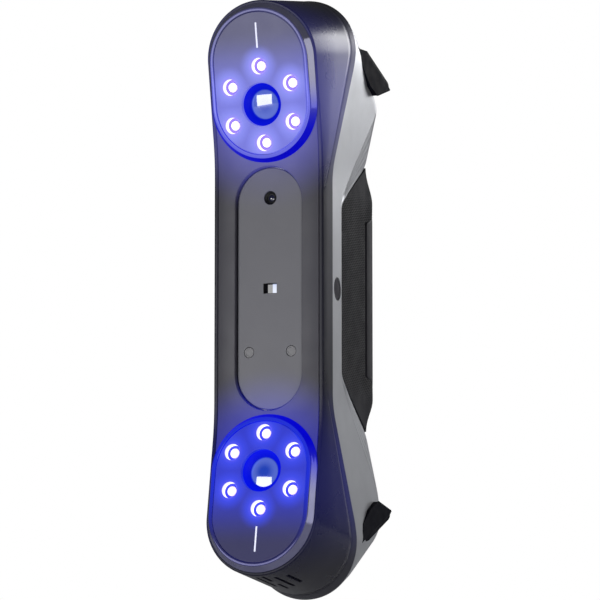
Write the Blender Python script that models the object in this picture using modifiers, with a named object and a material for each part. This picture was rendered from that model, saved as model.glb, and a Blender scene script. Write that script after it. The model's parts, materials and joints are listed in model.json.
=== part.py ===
"""Handheld structured-light scanner, modelled as an assembly of separate parts.

The scanner stands upright: +Z runs along its length, its front looks along -Y and +X is the side with the
round port plug. Lengths in this file are millimetres and depths are measured from the face of the central
plate, growing towards the back. An empty at FRONT_Y puts the origin in the middle of the object's box.
"""
import math

import bmesh
import bpy
from mathutils import Matrix, Vector

MM = 0.001
GAP = 0.3

# Housing, driving dimensions
HALF_WIDTH = 21.0            # dark front housing, constant over its whole length
BAND_HALF_WIDTH = 20.7       # front lip of the silver shell
EDGE_HALF_WIDTH = 21.0       # crisp edge of the silver shell
SIDE_TAPER = 0.12            # the silver sides lean in by this much per mm of depth
WAIST_DEPTH = -1.6           # front face between the two pods
TOE_IN = math.radians(9.6)   # each pod looks inwards by this angle
TOE_START = 46.5             # height where the pod planes leave the flat waist
KNEE_DEPTH = 29.5            # depth of the tallest outline
HOUSING_CENTRE = 85.85       # height the housing's end arcs would have their centres at there
HOUSING_LEAN = 0.167         # the end arcs move out by this much per mm of depth
# Ends of the silver shell: centre height at the knee, lean in front of it, lean in again behind it.
UPPER_END = (86.15, 0.22, 0.74)
LOWER_END = (87.0, 0.36, 0.4)
REAR_DIP_DEPTH = 48.0        # rear face of the shell where it meets the handle
REAR_DIP_HEIGHT = 48.0
REAR_SLOPE = 0.32
REAR_LEVEL_HEIGHT = 77.0
FRONT_Y = -23.58             # the plate's face, from the middle of the depth
CENTRE_Z = 0.41              # the middle of the length, below the middle of the plate

# Handle
GRIP_DEPTH = 17.0            # front boundary of the grip
GRIP_HALF_HEIGHT = 30.5
GRIP_CORNER = 2.0            # half length of the rounded corner of that boundary
GRIP_SLOPE = (REAR_DIP_DEPTH - GRIP_DEPTH) / (REAR_DIP_HEIGHT - GRIP_HALF_HEIGHT)
GRIP_HALF_WIDTH = 19.5
GRIP_TAPER = 0.128
GRIP_REAR_DEPTH = 46.7       # where the textured pads meet the smooth back
HANDLE_REAR_DEPTH = 59.0
SHOULDER_LENGTH = 12.5

# Pods
LENS_HEIGHT = 63.7
LENS_FACE_DEPTH = -7.43
POD_RADIUS = 18.75
POD_STRAIGHT = 15.0
POD_RISE = 3.0               # the window's face above the front panel
BEZEL_WALL = 1.3
BEZEL_FOOT_RADIUS = 20.4     # the bezel flares out towards the front panel
INDEX_LINE = (19.8, 28.6)
LENS_PORT_RADIUS = 7.5
LENS_RADIUS = 5.4
LED_CIRCLE_RADIUS = 13.4
LED_HOLE_RADIUS = 2.85
LED_ANGLES = (90, 30, -30, -90, -150, 150)

# Central plate
PLATE_RADIUS = 12.7
PLATE_HALF_LENGTH = 42.6
CAMERA_HEIGHT = 31.8
DISC_X = 8.1
DISC_HEIGHT = -22.2

# Controls on the back
BUTTONS = (("button_plus", 15.0, 3.9), ("button_scan", 0.0, 5.2), ("button_minus", -15.0, 3.9))
PANEL_RADIUS = 7.4
PANEL_HALF_LENGTH = 29.0

SIDE_STEPS = 15
ARC_STEPS = 8


def clear_scene():
    for old in list(bpy.data.objects):
        bpy.data.objects.remove(old)


clear_scene()
PARTS = bpy.data.collections.new("handheld_scanner")
CUTTERS = bpy.data.collections.new("cutters")
bpy.context.scene.collection.children.link(PARTS)
bpy.context.scene.collection.children.link(CUTTERS)


def empty(name, parent=None, matrix=None):
    holder = bpy.data.objects.new(name, None)
    PARTS.objects.link(holder)
    holder.parent = parent
    if matrix is not None:
        holder.matrix_local = matrix
    return holder


BODY = empty("scanner_origin", matrix=Matrix.Translation((0.0, FRONT_Y * MM, CENTRE_Z * MM)))
POD_FRAME = (Matrix.Translation(Vector((0.0, LENS_FACE_DEPTH, LENS_HEIGHT)) * MM)
             @ Matrix.Rotation(math.pi / 2 + TOE_IN, 4, "X"))
UPPER_POD = empty("upper_pod", BODY, POD_FRAME)
LOWER_POD = empty("lower_pod", BODY, Matrix.Rotation(math.pi, 4, "Y") @ POD_FRAME)
PODS = (("upper", UPPER_POD), ("lower", LOWER_POD))

MATERIALS = {
    "housing": ((0.085, 0.087, 0.12), 0.34, 0.75),
    "silver": ((0.44, 0.45, 0.47), 0.36, 0.85),
    "plate": ((0.17, 0.17, 0.19), 0.4, 0.5),
    "window": ((0.03, 0.03, 0.08), 0.08, 0.0),
    "bezel": ((0.06, 0.06, 0.1), 0.18, 0.6),
    "grip": ((0.03, 0.03, 0.034), 0.75, 0.0),
    "cover": ((0.055, 0.055, 0.06), 0.5, 0.0),
    "rubber": ((0.02, 0.02, 0.03), 0.7, 0.0),
    "lens": ((0.1, 0.12, 0.4), 0.05, 0.0),
    "led": ((0.7, 0.65, 1.0), 0.3, 0.0),
    "board": ((0.02, 0.12, 0.07), 0.45, 0.0),
    "metal": ((0.6, 0.6, 0.62), 0.35, 1.0),
    "steel": ((0.5, 0.5, 0.52), 0.3, 1.0),
    "brass": ((0.7, 0.55, 0.25), 0.3, 1.0),
    "black": ((0.012, 0.012, 0.014), 0.5, 0.0),
}


def material(name):
    found = bpy.data.materials.get(name)
    if found:
        return found
    colour, roughness, metallic = MATERIALS[name]
    made = bpy.data.materials.new(name)
    made.use_nodes = True
    shader = made.node_tree.nodes["Principled BSDF"]
    shader.inputs["Base Color"].default_value = (*colour, 1.0)
    shader.inputs["Roughness"].default_value = roughness
    shader.inputs["Metallic"].default_value = metallic
    return made


# ---------------------------------------------------------------- helpers

def add_object(name, mesh, look=None, parent=None, matrix=None):
    """Link a mesh as a part, or as a hidden cutter when it has no look."""
    made = bpy.data.objects.new(name, mesh)
    (PARTS if look else CUTTERS).objects.link(made)
    made.parent = parent or BODY
    if matrix is not None:
        made.matrix_local = matrix
    if look:
        mesh.materials.append(material(look))
        mesh.shade_smooth()
        mesh.set_sharp_from_angle(angle=math.radians(32))
    else:
        made.hide_render = True
        made.display_type = "WIRE"
    return made


def mesh_from(shape, name, closed=True):
    """Turn a bmesh in millimetres into a mesh in metres, its faces pointing out."""
    bmesh.ops.recalc_face_normals(shape, faces=shape.faces)
    if closed and shape.calc_volume(signed=True) < 0:
        bmesh.ops.reverse_faces(shape, faces=shape.faces)
    shape.transform(Matrix.Scale(MM, 4))
    mesh = bpy.data.meshes.new(name)
    shape.to_mesh(mesh)
    shape.free()
    return mesh


def bevel(target, width, segments=2, angle=32):
    mod = target.modifiers.new("edges", "BEVEL")
    mod.width = width * MM
    mod.segments = segments
    mod.limit_method = "ANGLE"
    mod.angle_limit = math.radians(angle)
    mod.use_clamp_overlap = True
    return target


def boolean(target, other, operation="DIFFERENCE"):
    mod = target.modifiers.new(operation.lower(), "BOOLEAN")
    mod.object = other
    mod.operation = operation
    mod.solver = "EXACT"
    return target


def mirror(target):
    mod = target.modifiers.new("mirror", "MIRROR")
    mod.merge_threshold = 0.00001
    return target


def box(name, low, high, look=None, parent=None):
    shape = bmesh.new()
    bmesh.ops.create_cube(shape, size=1.0)
    size = Vector(high) - Vector(low)
    centre = (Vector(high) + Vector(low)) / 2
    shape.transform(Matrix.Translation(centre) @ Matrix.Diagonal((*size, 1.0)))
    return add_object(name, mesh_from(shape, name), look, parent)


def rod(name, radius, start, end, look=None, parent=None, segments=24):
    """A cylinder between two points."""
    shape = bmesh.new()
    run = Vector(end) - Vector(start)
    bmesh.ops.create_cone(shape, cap_ends=True, segments=segments, radius1=radius,
                          radius2=radius, depth=run.length)
    turn = run.to_track_quat("Z", "Y").to_matrix().to_4x4()
    shape.transform(Matrix.Translation((Vector(start) + Vector(end)) / 2) @ turn)
    return add_object(name, mesh_from(shape, name), look, parent)


def flat(name, outline, low, high, look=None, parent=None, plane="XY"):
    """A flat outline given thickness. XY rises along Z, XZ along Y and YZ along X."""
    curve = bpy.data.curves.new(name, "CURVE")
    curve.dimensions = "2D"
    curve.fill_mode = "BOTH"
    curve.extrude = (high - low) / 2
    spline = curve.splines.new("POLY")
    spline.points.add(len(outline) - 1)
    for point, (across, along) in zip(spline.points, outline):
        point.co = (across, along, 0.0, 1.0)
    spline.use_cyclic_u = True
    holder = bpy.data.objects.new(name + "_outline", curve)
    CUTTERS.objects.link(holder)
    bpy.context.view_layer.update()
    filled = bpy.data.meshes.new_from_object(holder.evaluated_get(bpy.context.evaluated_depsgraph_get()))
    bpy.data.objects.remove(holder)
    turns = {"XY": Matrix.Identity(4),
             "XZ": Matrix(((1, 0, 0, 0), (0, 0, 1, 0), (0, 1, 0, 0), (0, 0, 0, 1))),
             "YZ": Matrix(((0, 0, 1, 0), (1, 0, 0, 0), (0, 1, 0, 0), (0, 0, 0, 1)))}
    shape = bmesh.new()
    shape.from_mesh(filled)
    bpy.data.meshes.remove(filled)
    bmesh.ops.remove_doubles(shape, verts=shape.verts, dist=0.001)
    shape.transform(turns[plane] @ Matrix.Translation((0.0, 0.0, (high + low) / 2)))
    return add_object(name, mesh_from(shape, name), look, parent)


def turned(name, profile, look, parent, steps=40):
    """A profile of (radius, height) points, top to bottom down its outer side, turned about Z."""
    mesh = bpy.data.meshes.new(name)
    is_ring = profile[0] == profile[-1]
    points = [(radius * MM, 0.0, height * MM) for radius, height in (profile[:-1] if is_ring else profile)]
    edges = [(i, i + 1) for i in range(len(points) - 1)]
    mesh.from_pydata(points, edges + ([(len(points) - 1, 0)] if is_ring else []), [])
    made = add_object(name, mesh, look, parent)
    mod = made.modifiers.new("turn", "SCREW")
    mod.axis = "Z"
    mod.angle = 2 * math.pi
    mod.screw_offset = 0.0
    mod.steps = mod.render_steps = steps
    mod.use_merge_vertices = True
    mod.merge_threshold = 0.00001
    mod.use_smooth_shade = True
    return made


def ring_profile(outer, inner, top, bottom, chamfer=0.3):
    """Closed profile of a plain ring, its outer top edge chamfered."""
    return [(outer - chamfer, top), (outer, top - chamfer), (outer, bottom), (inner, bottom), (inner, top),
            (outer - chamfer, top)]


def stadium(radius, low, high, steps=15):
    """Round-ended outline: its lower end arc is centred at low, its upper one at high."""
    points = []
    for centre, start in ((high, 0), (low, 180)):
        for step in range(steps + 1):
            angle = math.radians(start + 180 * step / steps)
            points.append((radius * math.cos(angle), centre + radius * math.sin(angle)))
    return points


# ---------------------------------------------------------------- body surfaces

def ramp(value, start, blend):
    """0 before start and value - start after it, with a smooth corner 2 * blend long."""
    past = value - start
    if past <= -blend:
        return 0.0
    if past >= blend:
        return past
    return (past + blend) ** 2 / (4 * blend)


def front_face(z):
    return WAIST_DEPTH - math.tan(TOE_IN) * ramp(abs(z), TOE_START, 7.0)


def housing_rear(z):
    """Depth where the dark housing ends and the silver lip begins."""
    return 0.3 + 0.44 * ramp(abs(z), 33.0, 6.0) - 0.33 * ramp(abs(z), 83.4, 5.0)


def crisp_edge(z):
    return 6.6 + 0.475 * ramp(abs(z), 41.5, 5.0) - 0.367 * ramp(abs(z), 83.4, 4.0)


def shell_rear(z):
    """Depth where the silver shell ends: straight at the grip, sloped behind the pods, level at the ends."""
    return (grip_front(z) - (GRIP_SLOPE - REAR_SLOPE) * ramp(abs(z), REAR_DIP_HEIGHT, 2.5)
            - REAR_SLOPE * ramp(abs(z), REAR_LEVEL_HEIGHT, 4.0))


def housing_end(depth):
    """Height of the centre of the housing's end arcs at a depth."""
    return HOUSING_CENTRE - HOUSING_LEAN * (KNEE_DEPTH - depth)


def shell_end(depth, end):
    """The same for one end of the silver shell."""
    centre, front_lean, rear_lean = end
    if depth < KNEE_DEPTH:
        return centre - front_lean * (KNEE_DEPTH - depth)
    return centre - rear_lean * (depth - KNEE_DEPTH)


def upper_end(depth):
    return shell_end(depth, UPPER_END)


def lower_end(depth):
    return shell_end(depth, LOWER_END)


def housing_width(depth, z):
    return HALF_WIDTH


def shell_width(depth, z):
    edge = crisp_edge(z)
    lip = housing_rear(z)
    if depth < edge:
        part = max(0.0, (depth - lip) / (edge - lip))
        return BAND_HALF_WIDTH + (EDGE_HALF_WIDTH - BAND_HALF_WIDTH) * part
    return EDGE_HALF_WIDTH - SIDE_TAPER * (depth - edge)


def between(first, last, part):
    return lambda z: first(z) + (last(z) - first(z)) * part


def shifted(level, amount):
    return lambda z: level(z) + amount


def outline_height(level, width, inset, sine, centre):
    """Height of the outline point whose end-arc angle has this sine, on a level surface."""
    low, high = 0.0, 140.0
    for _ in range(50):
        middle = (low + high) / 2
        depth = level(middle)
        if centre(depth) + (width(depth, middle) - inset) * sine > middle:
            low = middle
        else:
            high = middle
    return (low + high) / 2


def quarter_ring(level, width, inset, centre):
    """Outline of a level surface from the middle of the +X side to the end."""
    tangent = outline_height(level, width, inset, 0.0, centre)
    points = []
    for step in range(SIDE_STEPS):
        z = tangent * step / SIDE_STEPS
        points.append((width(level(z), z) - inset, level(z), z))
    for step in range(ARC_STEPS + 1):
        angle = math.pi / 2 * step / ARC_STEPS
        z = outline_height(level, width, inset, math.sin(angle), centre)
        across = 0.0 if step == ARC_STEPS else (width(level(z), z) - inset) * math.cos(angle)
        points.append((across, level(z), z))
    return points


def half_ring(level, width, inset):
    """Outline of a level surface on the +X side, from its lowest point to its highest."""
    ends = (upper_end, lower_end) if width is shell_width else (housing_end, housing_end)
    upper, lower = (quarter_ring(level, width, inset, centre) for centre in ends)
    return [(x, y, -z) for x, y, z in reversed(lower[1:])] + upper


def body_block(name, levels, width, look=None, inset=0.0):
    """A solid of the body's outline, lofted through level surfaces given as (depth function, inset)."""
    shape = bmesh.new()
    rows = []
    for level, extra in levels:
        rows.append([shape.verts.new(point) for point in half_ring(level, width, inset + extra)])
    for row, following in zip(rows, rows[1:]):
        for i in range(len(row) - 1):
            shape.faces.new((row[i], row[i + 1], following[i + 1], following[i]))
    for row in (rows[0], rows[-1]):
        spine = [row[0]] + [shape.verts.new((0.0, v.co.y, v.co.z)) for v in row[1:-1]] + [row[-1]]
        for i in range(len(row) - 1):
            corners = []
            for corner in (row[i], spine[i], spine[i + 1], row[i + 1]):
                if corner not in corners:
                    corners.append(corner)
            shape.faces.new(corners)
    bmesh.ops.triangulate(shape, faces=shape.faces)
    return mirror(add_object(name, mesh_from(shape, name), look))


def body_ring(name, levels, width, look):
    """A wall that runs all round the body: its section's corners are (depth function, inset)."""
    shape = bmesh.new()
    rows = [[shape.verts.new(point) for point in half_ring(level, width, inset)] for level, inset in levels]
    for row, following in zip(rows, rows[1:] + rows[:1]):
        for i in range(len(row) - 1):
            shape.faces.new((row[i], row[i + 1], following[i + 1], following[i]))
    bmesh.ops.triangulate(shape, faces=shape.faces)
    return mirror(add_object(name, mesh_from(shape, name), look))


def handle_rear(z):
    """Depth of the handle's back at a height: flat, with a soft shoulder at each end."""
    part = min(1.0, max(0.0, (REAR_DIP_HEIGHT - abs(z)) / SHOULDER_LENGTH))
    return REAR_DIP_DEPTH + (HANDLE_REAR_DEPTH - REAR_DIP_DEPTH) * part * part * (3 - 2 * part)


def handle_section(z, inset, front):
    """Right half of the handle's cross-section, from its front to the middle of its back."""
    points = [(0.0, front)]
    for depth in (front, GRIP_DEPTH, (GRIP_DEPTH + GRIP_REAR_DEPTH) / 2, GRIP_REAR_DEPTH):
        points.append((GRIP_HALF_WIDTH - GRIP_TAPER * (depth - GRIP_DEPTH) - inset, depth))
    side = points[-1][0]
    rise = max(0.2, handle_rear(z) - GRIP_REAR_DEPTH - inset)
    for step in range(1, 7):
        angle = math.pi / 2 * step / 6
        squareness = 0.5
        across = 0.0 if step == 6 else side * math.cos(angle) ** squareness
        points.append((across, GRIP_REAR_DEPTH + rise * math.sin(angle) ** squareness))
    return points


def handle_form(name, inset=0.0, front=14.0, look=None, reach=50.0, steps=26):
    """The handle's outer form, lofted along its height."""
    shape = bmesh.new()
    rows = []
    for step in range(steps + 1):
        z = -reach + 2 * reach * step / steps
        rows.append([shape.verts.new((x, y, z)) for x, y in handle_section(z, inset, front)])
    for row, following in zip(rows, rows[1:]):
        for i in range(len(row) - 1):
            shape.faces.new((row[i], row[i + 1], following[i + 1], following[i]))
    for row in (rows[0], rows[-1]):
        shape.faces.new(row)
    bmesh.ops.triangulate(shape, faces=shape.faces)
    return mirror(add_object(name, mesh_from(shape, name), look))


def grip_front(z):
    return GRIP_DEPTH + GRIP_SLOPE * ramp(abs(z), GRIP_HALF_HEIGHT, GRIP_CORNER)


def shell_clearance():
    """Everything in front of the silver shell's back, grown by the gap: its neighbours are cut by it."""
    levels = [(between(housing_rear, crisp_edge, 0.5), 0.0), (crisp_edge, 0.0)]
    levels += [(between(crisp_edge, shell_rear, part), 0.0) for part in (0.3, 0.65, 0.96)]
    levels += [(shell_rear, 0.9), (shifted(shell_rear, GAP), 0.9)]
    return body_block("shell_clearance", levels, shell_width, inset=-GAP)


# ---------------------------------------------------------------- casings

def front_housing():
    """Dark wall all round the front, with a ledge that carries the front panel."""
    outer = [(front_face, 0.7), (shifted(front_face, 0.25), 0.25), (shifted(front_face, 0.8), 0.0),
             (between(front_face, housing_rear, 0.7), 0.0), (shifted(housing_rear, -0.15), 0.05)]
    inner = [(shifted(housing_rear, -0.15), 2.8), (shifted(front_face, 2.3), 2.8),
             (shifted(front_face, 2.3), 1.5),
             (front_face, 1.5)]
    housing = body_ring("front_housing", outer + inner, housing_width, "housing")
    vents = ((8.0, -3.1, 8.8), (4.5, -5.4, 10.3), (1.2, -8.8, 0.0), (1.2, 4.2, 12.4), (-1.6, -7.4, 8.8))
    for number, (x, start, end) in enumerate(vents):
        slot = box(f"vent_{number}", (x - 0.6, start, -112.0), (x + 0.6, end, -97.0))
        boolean(housing, slot)
    boolean(housing, rod("reset_hole", 0.6, (9.2, 7.7, 96.0), (9.2, 7.7, 112.0), segments=16))
    return housing


def front_fascia():
    """Front panel set inside the housing's rim, open at the pods and at the central plate."""
    edge = 1.5 + GAP
    levels = [(front_face, edge + 0.35), (shifted(front_face, 0.35), edge), (shifted(front_face, 2.0), edge)]
    fascia = body_block("front_fascia", levels, housing_width, "housing")
    boolean(fascia, flat("plate_mouth", stadium(PLATE_RADIUS + 0.1, PLATE_RADIUS - PLATE_HALF_LENGTH,
                                                PLATE_HALF_LENGTH - PLATE_RADIUS), -9, 9, plane="XZ"))
    # The panel's bend reaches under the inner end of each pod, which is let into it there.
    seat_radius = BEZEL_FOOT_RADIUS + GAP
    pod_seat = [(seat_radius * math.cos(math.radians(turn)), seat_radius * math.sin(math.radians(turn)))
                for turn in range(200, 341, 10)]
    for end, pod in PODS:
        boolean(fascia, flat(f"{end}_pod_mouth", pod_stadium(1.5), -12, 3, parent=pod))
        boolean(fascia, flat(f"{end}_pod_seat", pod_seat, -POD_RISE, 3, parent=pod))
    for number, (x, z) in enumerate(SCREW_PLACES):
        boolean(fascia, rod(f"boss_{number}", 2.4, (x, -0.6, z), (x, 2.7, z), segments=24), "UNION")
        boolean(fascia, rod(f"pilot_{number}", 1.3, (x, -0.4, z), (x, 4.0, z), segments=12))
    return fascia


SCREW_PLACES = tuple((x, z) for z in (37.0, -37.0) for x in (-16.0, 16.0))


def rear_shell():
    """Silver shell: lip, crisp edge, tapered sides and the sloped backs behind the pods."""
    levels = [(shifted(housing_rear, 0.15), 0.25), (shifted(housing_rear, 0.45), 0.0), (crisp_edge, 0.0)]
    levels += [(between(crisp_edge, shell_rear, part), 0.0) for part in (0.3, 0.65, 0.96)]
    levels += [(shell_rear, 0.9)]
    shell = body_block("rear_shell", levels, shell_width, "silver")
    hollow = [(shifted(housing_rear, -2), 0), (crisp_edge, 0)]
    hollow += [(between(crisp_edge, shell_rear, part), 0) for part in (0.5,)]
    hollow += [(shifted(shell_rear, -2.2), 0.4)]
    boolean(shell, body_block("shell_hollow", hollow, shell_width, inset=2.0))
    mouth = [(8.0, -27.5), (8.0, 27.5), (17.0, 28.5), (46.0, 44.5), (64.0, 44.5), (64.0, -44.5),
             (46.0, -44.5), (17.0, -28.5)]
    boolean(shell, flat("handle_mouth", mouth, -14.2, 14.2, plane="YZ"))
    boolean(shell, rod("port_hole", PORT_RADIUS + GAP, (0, 0, -5.0), (0, 0, 4.0), parent=PORT_FRAME,
                       segments=28))
    boolean(shell, rod("insert_way", 4.9, (8.0, PORT_DEPTH, 0.0), (17.3, PORT_DEPTH, 0.0)))
    for number, (x, z) in enumerate(SHELL_SCREW_PLACES):
        depth = shell_rear(z)
        boolean(shell, rod(f"screw_hole_{number}", 1.7, (x, depth - 8, z), (x, depth + 3, z), segments=12))
        boolean(shell, rod(f"screw_seat_{number}", 2.9, (x, depth - 1.1, z), (x, depth + 5, z), segments=20))
    boolean(shell, flat("usb_hole", stadium(2.0 + GAP, -3.2, 3.2, 12), -6, 6, parent=USB_FRAME))
    return shell


SHELL_SCREW_PLACES = tuple((x, z) for z in (60.0, -60.0) for x in (-10.5, 10.5))

# The side port lies square to the tapered side. Its local +Z points out.
PORT_DEPTH = 12.0
PORT_RADIUS = 3.9
PORT_FRAME = empty("port_frame", BODY,
                   Matrix.Translation(Vector((shell_width(PORT_DEPTH, 0.0), PORT_DEPTH, 0.0)) * MM)
                   @ Matrix.Rotation(math.atan(SIDE_TAPER), 4, "Z") @ Matrix.Rotation(math.pi / 2, 4, "Y"))

# The charging and data inlet sits in the middle of the lower pod's sloped end.
USB_DEPTH = 43.0
USB_LEAN = math.atan2(1.0, LOWER_END[2] + SIDE_TAPER)
USB_HEIGHT = -(lower_end(USB_DEPTH) + shell_width(USB_DEPTH, lower_end(USB_DEPTH) + 18.0))
USB_FRAME = empty("usb_frame", BODY, Matrix.Translation(Vector((0.0, USB_DEPTH, USB_HEIGHT)) * MM)
                  @ Matrix.Rotation(-math.pi + USB_LEAN - math.pi / 2 + math.radians(90), 4, "X")
                  @ Matrix.Rotation(math.pi / 2, 4, "Z"))


def usb_socket():
    """Metal socket with its tongue, flush with the sloped end. Local +Z points out of the mouth."""
    socket = flat("usb_socket", stadium(2.0, -3.2, 3.2, 12), -7.5, -0.1, "steel", USB_FRAME)
    boolean(socket, flat("usb_cavity", stadium(1.6, -3.2, 3.2, 12), -6.3, 3.0, parent=USB_FRAME))
    boolean(socket, box("usb_tongue", (-0.35, -3.2, -7.0), (0.35, 3.2, -1.4), parent=USB_FRAME), "UNION")
    return socket


def handle():
    """Two textured grips and a smooth back cover over a moulded core."""
    rear = GRIP_REAR_DEPTH - GAP / 2
    grip_hollow = handle_form("grip_hollow", inset=2.0, front=13.0)
    for side, sign in (("right", 1), ("left", -1)):
        grip = handle_form(f"grip_{side}", look="grip")
        boolean(grip, grip_hollow)
        low, high = sorted((sign * 10.0, sign * 26.0))
        boolean(grip, box(f"grip_{side}_limit", (low, 15.0, -49.0), (high, rear, 49.0)), "INTERSECT")
        boolean(grip, CLEARANCE)
    cover = handle_form("handle_cover", look="cover")
    boolean(cover, handle_form("cover_hollow", inset=2.0, front=13.0, reach=43.5))
    tip = REAR_DIP_HEIGHT - 1.0
    back = [(GRIP_REAR_DEPTH + GAP / 2, -tip), (GRIP_REAR_DEPTH + GAP / 2, tip), (70.0, tip), (70.0, -tip)]
    boolean(cover, flat("cover_limit", back, -26, 26, plane="YZ"), "INTERSECT")
    boolean(cover, CLEARANCE)
    seat = stadium(PANEL_RADIUS + GAP, PANEL_RADIUS - PANEL_HALF_LENGTH, PANEL_HALF_LENGTH - PANEL_RADIUS)
    boolean(cover, flat("panel_seat", seat, HANDLE_REAR_DEPTH - 1.0, 66.0, plane="XZ"))
    for name, z, radius in BUTTONS:
        boolean(cover, rod(name + "_bore", radius + GAP, (0, 50, z), (0, 66, z), segments=24))
    boolean(cover, rod("light_bore", 1.3 + GAP, (0, 50, 25.0), (0, 66, 25.0), segments=12))
    core = handle_form("handle_core", inset=2.7, look="black")
    boolean(core, handle_form("core_hollow", inset=4.6, front=13.0, reach=40.0))
    boolean(core, flat("core_limit", [(15.5, -43.0), (15.5, 43.0), (64.0, 43.0), (64.0, -43.0)], -26, 26,
                       plane="YZ"), "INTERSECT")
    boolean(core, CLEARANCE)
    boolean(core, box("control_window", (-9.0, 50.0, -31.0), (9.0, 64.0, 31.0)))


def controls():
    """Gloss panel on the back with three buttons, a status light and the board behind them."""
    outline = stadium(PANEL_RADIUS, PANEL_RADIUS - PANEL_HALF_LENGTH, PANEL_HALF_LENGTH - PANEL_RADIUS)
    panel = flat("button_panel", outline, HANDLE_REAR_DEPTH - 0.7, HANDLE_REAR_DEPTH + 0.3, "window",
                 plane="XZ")
    for name, z, radius in BUTTONS:
        boolean(panel, rod(name + "_mouth", radius + GAP, (0, 50, z), (0, 66, z), segments=24))
        holder = empty(name + "_axis", BODY, Matrix.Translation(Vector((0, HANDLE_REAR_DEPTH, z)) * MM)
                       @ Matrix.Rotation(-math.pi / 2, 4, "X"))
        button = [(0.0, 0.75), (radius - 1.6, 0.8), (radius - 0.45, 1.05), (radius, 0.65), (radius, -2.5),
                  (radius + 0.9, -2.5), (radius + 0.9, -3.6), (1.6, -3.6), (1.6, -6.0), (0.0, -6.0)]
        turned(name, button, "rubber", holder, 20)
    boolean(panel, rod("light_mouth", 1.3 + GAP, (0, 50, 25.0), (0, 66, 25.0), segments=12))
    rod("status_light", 1.3, (0, 52.0, 25.0), (0, HANDLE_REAR_DEPTH + 0.35, 25.0), "led", segments=12)
    board = box("button_board", (-7.0, 48.6, -27.0), (7.0, 49.8, 27.0), "board")
    for name, z, _ in BUTTONS:
        boolean(board, box(name + "_switch", (-3.0, 49.4, z - 3.0), (3.0, 51.6, z + 3.0)), "UNION")
    boolean(board, box("light_source", (-1.2, 49.4, 23.8), (1.2, 51.0, 26.2)), "UNION")


# ---------------------------------------------------------------- pods

def pod_stadium(inset, steps=15):
    return stadium(POD_RADIUS - inset, 0.0, POD_STRAIGHT, steps)


def pod_ring(name, section, look, parent):
    """Ring that follows the pod's outline. Its section's corners are (radius, height)."""
    shape = bmesh.new()
    rows = [[shape.verts.new((x, y, height)) for x, y in stadium(radius, 0.0, POD_STRAIGHT)]
            for radius, height in section]
    for row, following in zip(rows, rows[1:] + rows[:1]):
        for i, corner in enumerate(row):
            j = (i + 1) % len(row)
            shape.faces.new((corner, row[j], following[j], following[i]))
    return add_object(name, mesh_from(shape, name), look, parent)


def pods():
    """Both stereo pods. Local +Z leaves the window's face, local +Y runs to the pod's outer end."""
    for end, pod in PODS:
        inner = POD_RADIUS - BEZEL_WALL
        pod_ring(f"{end}_bezel", [(inner, 0.0), (POD_RADIUS - 0.25, 0.0), (POD_RADIUS, -0.3),
                                  (BEZEL_FOOT_RADIUS, -2.45), (BEZEL_FOOT_RADIUS, -2.6), (inner, -2.6)],
                 "bezel", pod)
        window = flat(f"{end}_window", pod_stadium(BEZEL_WALL + GAP), -1.6, -0.15, "window", pod)
        baffle = flat(f"{end}_light_baffle", pod_stadium(BEZEL_WALL + GAP), -2.95, -1.9, "black", pod)
        board = flat(f"{end}_led_board", pod_stadium(2.0), -4.4, -3.25, "board", pod)
        boolean(window, rod(f"{end}_port", LENS_PORT_RADIUS, (0, 0, -9), (0, 0, 3), parent=pod, segments=20))
        for name, target, radius in (("baffle", baffle, 8.9), ("board", board, 9.1)):
            boolean(target, rod(f"{end}_{name}_port", radius, (0, 0, -9), (0, 0, 3), parent=pod,
                                segments=20))
        for number, angle in enumerate(LED_ANGLES, 1):
            x = LED_CIRCLE_RADIUS * math.cos(math.radians(angle))
            y = LED_CIRCLE_RADIUS * math.sin(math.radians(angle))
            for name, target in (("window", window), ("baffle", baffle)):
                boolean(target, rod(f"{end}_{name}_hole_{number}", LED_HOLE_RADIUS, (x, y, -3.1), (x, y, 3),
                                    parent=pod, segments=12))
            led = turned(f"{end}_led_{number}", led_profile(), None, pod, 10)
            led.matrix_local = Matrix.Translation(Vector((x, y, -3.4)) * MM)
            boolean(board, led, "UNION")
        first, last = INDEX_LINE
        box(f"{end}_index_line", (-0.3, first, -0.1), (0.3, last, 0.06), "led", pod)
        boolean(window, box(f"{end}_index_seat", (-0.3 - GAP, first - GAP, -0.4),
                            (0.3 + GAP, last + GAP, 3.0), parent=pod))
        turned(f"{end}_lens_barrel", barrel_profile(), "black", pod, 24)
        turned(f"{end}_lens", lens_profile(), "lens", pod, 24)
        camera = box(f"{end}_camera_board", (-12.0, -12.0, -20.6), (12.0, 12.0, -19.2), "board", pod)
        boolean(camera, box(f"{end}_sensor", (-5.0, -5.0, -20.0), (5.0, 5.0, -18.4), parent=pod), "UNION")


def led_profile():
    """Emitter: a round base under a domed lens, its foot at height 0."""
    dome = [(1.7 * math.sin(math.radians(a)), 0.7 + 1.1 * math.cos(math.radians(a))) for a in (0, 42, 78)]
    return dome + [(2.1, 0.75), (2.1, 0.0), (0.0, 0.0)]


def barrel_profile():
    """Lens barrel behind the port: a conical mouth, the lens seat and the tube down to the camera."""
    return [(8.5, -1.95), (8.5, -8.0), (7.9, -8.6), (7.9, -14.0), (8.6, -14.6), (8.6, -18.0), (5.2, -18.0),
            (5.2, -5.9), (5.7, -5.9), (5.7, -3.1), (5.45, -2.8), (7.1, -1.95), (8.5, -1.95)]


def lens_profile():
    """Front element: a shallow dome over a short cylinder."""
    edge_turn = math.radians(42)
    dome = []
    for degrees in (0, 12, 24, 34, 42):
        turn = math.radians(degrees)
        dome.append((LENS_RADIUS * math.sin(turn) / math.sin(edge_turn),
                     -3.4 + 2.3 * (math.cos(turn) - math.cos(edge_turn))))
    return dome + [(LENS_RADIUS, -5.6), (0.0, -5.6)]


# ---------------------------------------------------------------- central plate and inside

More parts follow.
